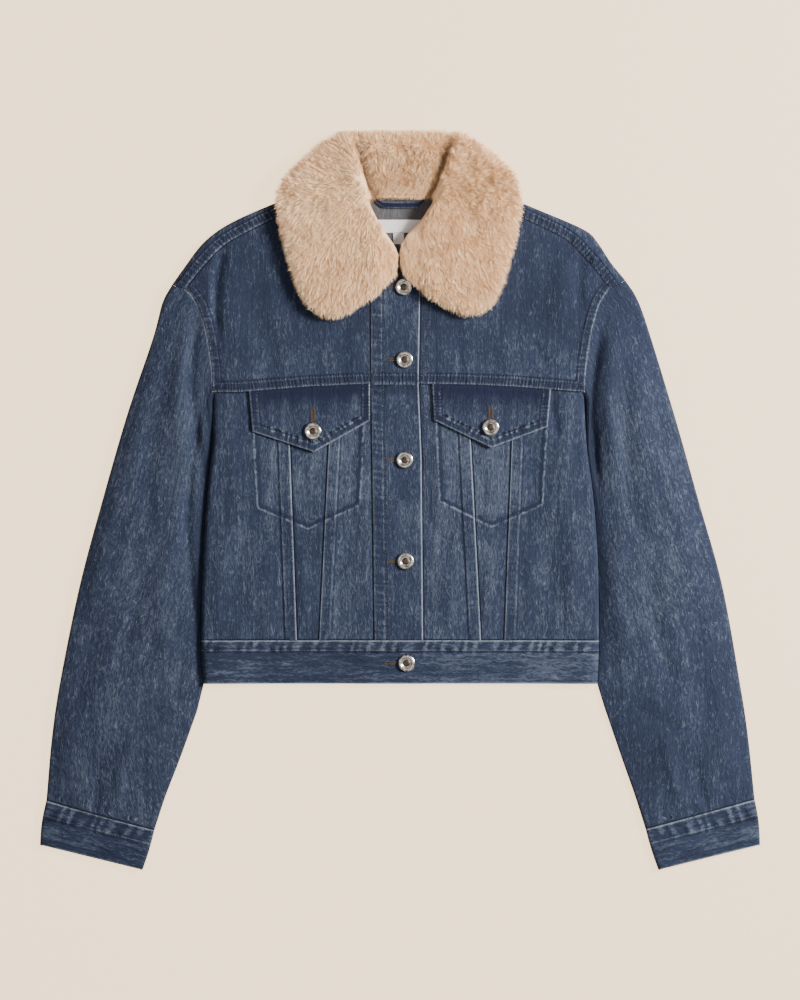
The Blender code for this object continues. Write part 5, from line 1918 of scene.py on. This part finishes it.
    def pull(self, plan: Grid, middle: Grid) -> Grid:
        """The grid drawn in from its border by the pile's reach."""
        insets = ((plan[-1], self.inset), (plan[0], self.neck_inset), (plan[:, 0], self.end_inset),
                  (plan[:, -1], self.end_inset))
        move = np.zeros(plan.shape[:2])
        for line, inset in insets:
            away = nearest(plan, resample(line, np.linspace(0, 1, 120)))[0]
            move = np.maximum(move, inset * np.exp(-(away / 12) ** 2))
        toward = middle - plan
        size = np.maximum(np.linalg.norm(toward, axis=2, keepdims=True), 1e-6)
        return plan + toward / size * np.minimum(move[..., None], size * 0.6)

    def grow(self, backing: bpy.types.Object) -> None:
        """Grows the pile in three pieces, so that each stays a light mesh."""
        mesh = backing.data
        count = len(mesh.vertices)
        places, normal = np.empty(count * 3), np.empty(count * 3)
        mesh.vertices.foreach_get("co", places)
        mesh.vertices.foreach_get("normal", normal)
        x, y, z = places.reshape(-1, 3).T / MM
        up = normal.reshape(-1, 3)[:, 2]
        band = ease(self.within_folds(x, y), -2, 4) * ease(y, 296, 312) * (1 - ease(y, 362, 377))
        away = np.column_stack((x * 0.9, y - 330.0))
        away /= np.maximum(np.linalg.norm(away, axis=1), 30.0)[:, None]
        away[:, 1] -= 0.75 * ease(-y, -330, -300)
        away[:, 1] += 0.8 * ease(y, 366, 384) * (abs(x) < 62)
        away = away * (1 - band)[:, None] + np.array((0.0, -1.0)) * band[:, None]
        store(mesh, "comb", np.column_stack((away, np.zeros(count))))
        within = self.within_folds(x, y)
        # painted shade: darker along the leaves' folds over the band, and a little across the band
        # between them
        shade = np.exp(-((within - 1.5) / np.where(within > 1.5, 8.0, 2.5)) ** 2)
        shade *= 0.62 * ease(y, 296, 312) * (1 - ease(y, 366, 378))
        shade += 0.08 * ease(within, 6, 14) * ease(y, 300, 314) * (1 - ease(y, 350, 376))
        store(mesh, "shade", shade)
        short = 1 - 0.42 * (y < 330) * (abs(x) < 34) * ease(self.within_folds(x, y), 0, 4)
        store(mesh, "short", short)
        zones = {"right": (x < -46) | ((x < 0) & (y < 318)), "left": (x > 46) | ((x >= 0) & (y < 318))}
        zones["back"] = ~(zones["right"] | zones["left"])
        for number, (tag, zone) in enumerate(zones.items()):
            density = zone * np.where(up > -0.15, 1.0, 0.18) * (z >= 0.6)
            store(mesh, f"grow_{tag}", density)
            tree = strand_tree(f"strands_{tag}", f"grow_{tag}")
            settings = {"Per Area": self.per_area, "Length": self.length * MM,
                        "Width": self.width * MM, "Seed": 11 + number,
                        "Finish": self.wardrobe.pile}
            piece = grown(f"collar_pile_{tag}", backing, tree, settings)
            keep_above(piece, 0.0002)
            belong(piece, "fur")


def keep_above(piece: bpy.types.Object, floor: float) -> None:
    """Lifts what would reach below the table up to it."""
    count = len(piece.data.vertices)
    places = np.empty(count * 3, dtype=np.float32)
    piece.data.vertices.foreach_get("co", places)
    places = places.reshape(-1, 3)
    low = places[:, 2] < floor
    places[low, 2] = floor + 0.02 * np.abs(places[low, 2])
    piece.data.vertices.foreach_set("co", places.ravel())
    piece.data.update()


# --- geometry node trees ----------------------------------------------------------------------------


def growing_tree(name: str, inputs: dict[str, str]) -> tuple[bpy.types.NodeTree, Graph,
                                                              bpy.types.Node, bpy.types.Node]:
    """An empty geometry tree with a mesh in, a mesh out and named inputs."""
    tree = bpy.data.node_groups.new(name, "GeometryNodeTree")
    tree.interface.new_socket("Geometry", in_out="INPUT", socket_type="NodeSocketGeometry")
    for key, kind in inputs.items():
        tree.interface.new_socket(key, in_out="INPUT", socket_type=kind)
    tree.interface.new_socket("Geometry", in_out="OUTPUT", socket_type="NodeSocketGeometry")
    graph = Graph(tree)
    return tree, graph, graph.add("NodeGroupInput"), graph.add("NodeGroupOutput")


def grown(name: str, source: bpy.types.Object, tree: bpy.types.NodeTree,
          settings: dict[str, object]) -> bpy.types.Object:
    """Runs a geometry tree on a mesh and keeps the result as a plain mesh.

    Args:
        name: The new piece's name.
        source: The object whose mesh the tree reads.
        tree: The geometry tree.
        settings: A value for each named input.

    Returns:
        The new piece.
    """
    helper = placed(name + "_source", source.data)
    modifier = helper.modifiers.new("grow", "NODES")
    modifier.node_group = tree
    for item in tree.interface.items_tree:
        if item.item_type == "SOCKET" and item.in_out == "INPUT" and item.name in settings:
            modifier[item.identifier] = settings[item.name]
    ready = helper.evaluated_get(bpy.context.evaluated_depsgraph_get())
    mesh = bpy.data.meshes.new_from_object(ready)
    mesh.name = name
    bpy.data.objects.remove(helper, do_unlink=True)
    return placed(name, mesh)


def strand_tree(name: str, density: str) -> bpy.types.NodeTree:
    """Tapered, bent strands over a surface, leaning with the comb and with their clump."""
    tree, graph, given, out = growing_tree(name, {
        "Per Area": "NodeSocketFloat", "Length": "NodeSocketFloat", "Width": "NodeSocketFloat",
        "Seed": "NodeSocketInt", "Finish": "NodeSocketMaterial"})
    thick = graph.add("GeometryNodeInputNamedAttribute", {"Name": density}, data_type="FLOAT")
    weight = graph.times(thick.outputs[0], given.outputs["Per Area"])
    scatter = graph.add("GeometryNodeDistributePointsOnFaces", {
        "Mesh": given.outputs["Geometry"], "Density": weight, "Seed": given.outputs["Seed"]})
    comb = graph.add("GeometryNodeInputNamedAttribute", {"Name": "comb"},
                     data_type="FLOAT_VECTOR").outputs[0]
    place = graph.add("GeometryNodeInputPosition").outputs[0]
    clump = graph.add("ShaderNodeTexNoise", {"Vector": place, "Scale": 85.0, "Detail": 1.5})
    tuft = graph.add("ShaderNodeTexNoise", {"Vector": place, "Scale": 260.0, "Detail": 0.0})

    def centred(noise: bpy.types.Node, size: float) -> Socket:
        """A noise colour as a vector about zero."""
        moved = graph.add("ShaderNodeVectorMath", {0: noise.outputs["Color"], 1: (0.5, 0.5, 0.5)},
                          operation="SUBTRACT")
        return graph.add("ShaderNodeVectorMath", {0: moved.outputs[0], "Scale": size},
                         operation="SCALE").outputs[0]

    def total(*vectors: Socket) -> Socket:
        """The sum of a few vectors."""
        result = vectors[0]
        for vector in vectors[1:]:
            result = graph.add("ShaderNodeVectorMath", {0: result, 1: vector},
                               operation="ADD").outputs[0]
        return result

    upright = graph.add("ShaderNodeVectorMath", {0: scatter.outputs["Normal"], "Scale": 0.62},
                        operation="SCALE")
    heading = total(upright.outputs[0], comb, centred(clump, 2.2), centred(tuft, 1.1))
    turn = graph.add("FunctionNodeAlignRotationToVector", {"Vector": heading}, axis="Z")
    spin = graph.add("FunctionNodeRandomValue", {"Min": 0.0, "Max": 6.283,
                                                 "Seed": given.outputs["Seed"]},
                     data_type="FLOAT")
    spun = graph.add("FunctionNodeRotateRotation", {
        "Rotation": turn.outputs[0],
        "Rotate By": graph.add("FunctionNodeEulerToRotation", {
            0: graph.add("ShaderNodeCombineXYZ", {2: spin.outputs[1]}).outputs[0]}).outputs[0]},
        rotation_space="LOCAL")
    blade = graph.add("GeometryNodeMeshGrid", {"Size X": 1.0, "Size Y": 1.0, "Vertices X": 2,
                                               "Vertices Y": 3})
    spot = graph.add("ShaderNodeSeparateXYZ", {0: graph.add("GeometryNodeInputPosition").outputs[0]})
    along = graph.plus(spot.outputs[1], 0.5)
    narrow = graph.minus(1.0, graph.times(graph.math("POWER", along, 1.6), 0.82))
    bend = graph.times(graph.math("POWER", along, 2.0), 0.34)
    shaped = graph.add("ShaderNodeCombineXYZ", {
        0: graph.times(graph.times(spot.outputs[0], narrow),
                      given.outputs["Width"]),
        1: graph.times(bend, given.outputs["Length"]),
        2: graph.times(along, given.outputs["Length"])})
    formed = graph.add("GeometryNodeSetPosition", {"Geometry": blade.outputs["Mesh"],
                                                   "Position": shaped.outputs[0]})
    tipped = graph.add("GeometryNodeStoreNamedAttribute", {
        "Geometry": formed.outputs[0], "Name": "tip",
        "Value": graph.math("DIVIDE", graph.add("ShaderNodeSeparateXYZ", {
            0: graph.add("GeometryNodeInputPosition").outputs[0]}).outputs[2],
            given.outputs["Length"])}, data_type="FLOAT", domain="POINT")
    size = graph.add("FunctionNodeRandomValue", {"Min": 0.62, "Max": 1.12, "Seed": 5},
                     data_type="FLOAT")
    tone = graph.add("FunctionNodeRandomValue", {"Min": 0.0, "Max": 1.0, "Seed": 9},
                     data_type="FLOAT")
    short = graph.add("GeometryNodeInputNamedAttribute", {"Name": "short"}, data_type="FLOAT")
    marked = graph.add("GeometryNodeStoreNamedAttribute", {
        "Geometry": scatter.outputs["Points"], "Name": "tone", "Value": tone.outputs[1]},
        data_type="FLOAT", domain="POINT")
    many = graph.add("GeometryNodeInstanceOnPoints", {
        "Points": marked.outputs[0], "Instance": tipped.outputs[0], "Rotation": spun.outputs[0],
        "Scale": graph.times(size.outputs[1], short.outputs[0])})
    real = graph.add("GeometryNodeRealizeInstances", {"Geometry": many.outputs[0]})
    soft = graph.add("GeometryNodeSetShadeSmooth", {"Geometry": real.outputs[0]})
    dressed = graph.add("GeometryNodeSetMaterial", {"Geometry": soft.outputs[0],
                                                    "Material": given.outputs["Finish"]})
    tree.links.new(dressed.outputs[0], out.inputs[0])
    return tree


def stitch_tree() -> bpy.types.NodeTree:
    """Plump stitches at an even pitch along the lines of a mesh."""
    tree, graph, given, out = growing_tree("stitches", {
        "Pitch": "NodeSocketFloat", "Length": "NodeSocketFloat", "Thickness": "NodeSocketFloat",
        "Finish": "NodeSocketMaterial"})
    curve = graph.add("GeometryNodeMeshToCurve", {"Mesh": given.outputs["Geometry"]})
    points = graph.add("GeometryNodeCurveToPoints", {"Curve": curve.outputs[0],
                                                     "Length": given.outputs["Pitch"]},
                       mode="LENGTH")
    turn = graph.add("FunctionNodeAlignRotationToVector", {"Vector": points.outputs["Tangent"]},
                     axis="X")
    bead = graph.add("GeometryNodeMeshIcoSphere", {"Radius": 0.5, "Subdivisions": 1})
    scale = graph.add("ShaderNodeCombineXYZ", {0: given.outputs["Length"],
                                               1: given.outputs["Thickness"],
                                               2: given.outputs["Thickness"]})
    many = graph.add("GeometryNodeInstanceOnPoints", {
        "Points": points.outputs["Points"], "Instance": bead.outputs["Mesh"],
        "Rotation": turn.outputs[0], "Scale": scale.outputs[0]})
    real = graph.add("GeometryNodeRealizeInstances", {"Geometry": many.outputs[0]})
    soft = graph.add("GeometryNodeSetShadeSmooth", {"Geometry": real.outputs[0]})
    dressed = graph.add("GeometryNodeSetMaterial", {"Geometry": soft.outputs[0],
                                                    "Material": given.outputs["Finish"]})
    tree.links.new(dressed.outputs[0], out.inputs[0])
    return tree


@dataclass
class Needlework:
    """Lays stitches on the cloth that is already there."""

    wardrobe: Wardrobe
    tree: bpy.types.NodeTree = field(default_factory=stitch_tree)
    pitch: float = 3.4
    stitch: float = 2.7
    thread: float = 0.55
    zigzag: float = 0.42

    def surface(self) -> list[BVHTree]:
        """Search trees of every cloth piece."""
        found = []
        for item in bpy.data.objects:
            if item.type == "MESH" and item.name.endswith(("_cloth", "_cloth_right", "_cloth_left")):
                mesh = item.data
                found.append(BVHTree.FromPolygons([vertex.co for vertex in mesh.vertices],
                                                  [face.vertices[:] for face in mesh.polygons]))
        return found

    def drop(self, trees: Sequence[BVHTree], x: float, y: float) -> float:
        """Height of the highest cloth at a place, in millimetres."""
        best = -1.0
        start = Vector((x * MM, y * MM, 0.2))
        for tree in trees:
            hit = tree.ray_cast(start, Vector((0, 0, -1)))
            if hit[0] is not None:
                best = max(best, hit[0].z)
        return best / MM

    def sew(self, name: str, lines: Sequence[Grid], pitch: float, length: float,
            thickness: float, finish: bpy.types.Material) -> None:
        """Makes one piece of stitches along 3-D lines."""
        guide = bpy.data.meshes.new(name + "_guide")
        points, edges = [], []
        for line in lines:
            edges += [(len(points) + k, len(points) + k + 1) for k in range(len(line) - 1)]
            points += [tuple(place * MM) for place in line]
        guide.from_pydata(points, edges, [])
        holder = placed(name + "_guide", guide)
        piece = grown(name, holder, self.tree, {"Pitch": pitch * MM, "Length": length * MM,
                                                "Thickness": thickness * MM, "Finish": finish})
        bpy.data.objects.remove(holder, do_unlink=True)
        belong(piece, "thread")

    def topstitch(self, rows: Sequence[StitchRow], trees: Sequence[BVHTree]) -> None:
        """Sews all the rows of topstitching."""
        lines = []
        for row in rows:
            count = max(2, int(length_of(row.line) / self.pitch))
            plan = resample(row.line, np.linspace(0, 1, count + 1))
            if row.below_flaps:
                plan = plan[plan[:, 1] < 50.0 + 0.52 * abs(abs(plan[:, 0]) - 92.0)]
            heights = [self.drop(trees, *place) for place in plan]
            run = [np.array((*place, height + 0.12)) for place, height in zip(plan, heights)
                   if height > 0]
            if len(run) > 1:
                lines.append(np.array(run))
        self.sew("topstitching", lines, self.pitch, self.stitch, self.thread,
                 self.wardrobe.thread)

    def buttonholes(self, trees: Sequence[BVHTree]) -> None:
        """Sews the tobacco buttonholes beside the buttons."""
        lines = []
        holes = ((-14.0, 147.2, -3.0, 147.2), (-14.0, 42.0, -3.0, 42.0), (-14.0, -64.0, -3.0, -64.0),
                 (-16.5, -170.5, -1.0, -170.5), (-13.0, 223.5, -3.0, 223.5),
                 (-91.0, 96.0, -91.0, 80.0), (95.0, 97.5, 95.0, 84.0))
        for (x0, y0, x1, y1), hand in product(holes, (1.0, -1.0)):
            start, end = np.array((x0, y0)), np.array((x1, y1))
            along = (end - start) / np.linalg.norm(end - start)
            beside = np.array((-along[1], along[0]))
            count = int(np.linalg.norm(end - start) / self.zigzag)
            places = []
            for k in range(count + 1):
                middle = start + along * k * self.zigzag
                reach = 0.4 if k % 2 else 1.7 + 0.9 * (x0 == x1)
                reach *= min(1.0, 0.35 + 0.2 * k)
                place = middle + beside * hand * reach
                height = self.drop(trees, *middle) + 0.35
                places.append(np.array((*place, height)))
            lines.append(np.array(places))
        self.sew("buttonhole_thread", lines, 0.8, 1.0, 0.5, self.wardrobe.tobacco)


# --- trims --------------------------------------------------------------------------------------------


@dataclass
class Buttons:
    """Turned shank buttons with a raised rim and a sunk bronze middle."""

    wardrobe: Wardrobe
    sides: int = 48
    # radius, height, and 1 where the bronze starts
    profile: Table = ((6.4, 0.2, 0), (8.3, 0.5, 0), (8.9, 1.1, 0), (9.0, 1.7, 0), (8.8, 2.4, 0),
                      (8.3, 3.0, 0), (7.5, 3.4, 0), (6.6, 3.5, 0), (5.8, 3.3, 0), (5.2, 2.8, 0),
                      (4.6, 2.3, 0), (3.9, 2.1, 0), (3.6, 2.2, 1), (3.0, 2.5, 1), (2.0, 2.7, 1),
                      (0.9, 2.75, 1))

    def place_all(self, sewing: Needlework, trees: Sequence[BVHTree]) -> None:
        """Puts a button on each of its nodes."""
        for number in range(1, 6):
            self.place(f"front_button_{number}", sewing, trees)
        for side in Side:
            self.place(f"flap_button_{side.tag}", sewing, trees)

    def place(self, node: str, sewing: Needlework, trees: Sequence[BVHTree]) -> None:
        """Turns one button where its solid is, seated on the cloth under it."""
        low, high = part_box(node)
        x, y = (low[0] + high[0]) / 2 / MM, (low[1] + high[1]) / 2 / MM
        seats = [sewing.drop(trees, x + 6 * math.cos(a), y + 6 * math.sin(a))
                 for a in np.linspace(0, 2 * math.pi, 8, endpoint=False)]
        base = max(seats) - 0.1
        tool = bmesh.new()
        rings = []
        for radius, height, _ in self.profile:
            rings.append([tool.verts.new((MM * (x + radius * math.cos(turn)),
                                          MM * (y + radius * math.sin(turn)),
                                          MM * (base + height)))
                          for turn in np.linspace(0, 2 * math.pi, self.sides, endpoint=False)])
        tool.faces.new(rings[0][::-1])
        tool.faces.new(rings[-1]).material_index = 1
        for (lower, upper), (_, _, bronze) in zip(zip(rings, rings[1:]), self.profile[1:]):
            for k in range(self.sides):
                after = (k + 1) % self.sides
                face = tool.faces.new((lower[k], lower[after], upper[after], upper[k]))
                face.material_index = int(bronze)
        bmesh.ops.recalc_face_normals(tool, faces=tool.faces)
        mesh = bpy.data.meshes.new(node + "_metal")
        tool.to_mesh(mesh)
        tool.free()
        mesh.materials.append(self.wardrobe.nickel)
        mesh.materials.append(self.wardrobe.bronze)
        mesh.shade_smooth()
        belong(placed(node + "_metal", mesh), "button_metal", (node,))


@dataclass
class NeckTrims:
    """Hanger loop, blank label and size tab on the inside of the back."""

    cut: Cut
    wardrobe: Wardrobe

    def build(self) -> None:
        """Makes the three trims."""
        line = smooth_line(((-29.0, 315.0), (-19.5, 307.6), (-15.0, 306.3), (0.0, 305.9),
                            (16.0, 306.3), (20.5, 307.6), (28.0, 315.0)), 40)
        share = np.linspace(0, 1, 9)
        plan = np.stack([line + (0.0, 6.4 * k) for k in share])
        bulge = 1.2 * np.sin(share * math.pi)[:, None] + 2.2 * np.sin(
            np.linspace(0, math.pi, 41))[None]
        self.strip("hanger_loop_cloth", "hanger_loop", plan, 1.6 + bulge * 0.6, 1.4,
                   self.wardrobe.folded, "denim", 0.7)
        for name, node, (x0, x1), (y0, y1) in (
                ("neck_label_tape", "neck_label", (-26.5, 26.0), (280.5, 294.0)),
                ("size_tab_tape", "size_tab", (-7.0, 4.0), (268.5, 280.1))):
            u, v = np.linspace(0, 1, 28), np.linspace(0, 1, 9)
            plan = np.dstack(np.meshgrid(x0 + u * (x1 - x0), y0 + v * (y1 - y0)))
            wave = 0.35 * np.sin(plan[..., 0] / 7.0)
            self.strip(name, node, plan, 1.9 + wave, 0.5,
                       (self.wardrobe.tape, self.wardrobe.tape), "label", 0.0)

    def strip(self, name: str, node: str, plan: Grid, low: np.ndarray, thickness: float,
              finish: tuple[bpy.types.Material, bpy.types.Material], slot: str,
              wear: float) -> None:
        """One thin strip of cloth or tape."""
        marks = Marks.read(plan, [Seam(plan[0], 0.0, wear), Seam(plan[-1], 0.0, wear)])
        Cloth(name, (node,), lift(plan, low), lift(plan, low + thickness), plan, marks,
              tinted(plan.shape[:2], -0.2, 0.85), finish, rests_on=("back_yoke_cloth",),
              slot=slot).build()


# --- studio ------------------------------------------------------------------------------------------


@dataclass(frozen=True)
class Studio:
    """Pale floor, soft light from the upper right and a camera straight above."""

    height: float = 3.0
    frame_side: float = 1.05
    floor: tuple[float, float, float] = (0.16, 0.145, 0.13)
    glow: tuple[float, float, float] = (1.0, 0.755, 0.465)
    glow_strength: float = 2.55
    key: float = 146.0
    fill: float = 15.0
    sky: float = 0.38

    def build(self) -> None:
        """Makes the camera, the floor and the lights."""
        lens = bpy.data.cameras.new("camera")
        lens.sensor_width = 36.0
        lens.lens = 36.0 * self.height / self.frame_side
        camera = placed("camera", lens)
        camera.location = (0.0, 0.0, self.height)
        bpy.context.scene.camera = camera
        mesh = bpy.data.meshes.new("floor")
        reach, below = 4.0, -0.0006
        mesh.from_pydata([(-reach, -reach, below), (reach, -reach, below), (reach, reach, below),
                          (-reach, reach, below)], [], [(0, 1, 2, 3)])
        material, _, shader = new_material("floor_paper", 1.0)
        shader.inputs["Base Color"].default_value = (*self.floor, 1.0)
        shader.inputs["Specular IOR Level"].default_value = 0.0
        shader.inputs["Emission Color"].default_value = (*self.glow, 1.0)
        shader.inputs["Emission Strength"].default_value = self.glow_strength
        mesh.materials.append(material)
        placed("floor", mesh)
        self.lamp("key_light", (1.7, 0.55, 1.3), self.key, 0.5, (1.0, 0.97, 0.94))
        self.lamp("fill_light", (-0.6, -0.4, 2.6), self.fill, 2.4, (0.95, 0.97, 1.0))
        world = bpy.data.worlds.new("studio")
        world.use_nodes = True
        back = world.node_tree.nodes["Background"]
        back.inputs["Color"].default_value = (0.97, 0.97, 1.0, 1.0)
        back.inputs["Strength"].default_value = self.sky
        bpy.context.scene.world = world

    def lamp(self, name: str, place: tuple[float, float, float], power: float, size: float,
             colour: tuple[float, float, float]) -> None:
        """A square area light aimed at the jacket."""
        light = bpy.data.lights.new(name, "AREA")
        light.energy = power
        light.size = size
        light.color = colour
        lamp = placed(name, light)
        lamp.location = place
        lamp.rotation_euler = (-Vector(place)).to_track_quat("-Z", "Y").to_euler()


def main() -> None:
    """Builds the jacket around the frame, in the order in which it is made up."""
    logging.basicConfig(level=logging.INFO, format="%(message)s")
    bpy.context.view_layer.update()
    Studio().build()
    cut, drape = Cut(), Drape()
    wardrobe = Wardrobe()
    NeckTrims(cut, wardrobe).build()
    body = Body(cut, drape, wardrobe)
    body.build()
    pockets = Pockets(cut, drape, wardrobe)
    pockets.build()
    sleeves = [Sleeve(side, cut, drape, wardrobe) for side in Side]
    for sleeve in sleeves:
        sleeve.build()
    sewing = Needlework(wardrobe)
    trees = sewing.surface()
    rows = body.rows + pockets.rows + [row for sleeve in sleeves for row in sleeve.rows]
    sewing.topstitch(rows, trees)
    sewing.buttonholes(trees)
    Buttons(wardrobe).place_all(sewing, trees)
    Collar(cut, wardrobe).build()


if __name__ == "__main__":
    main()
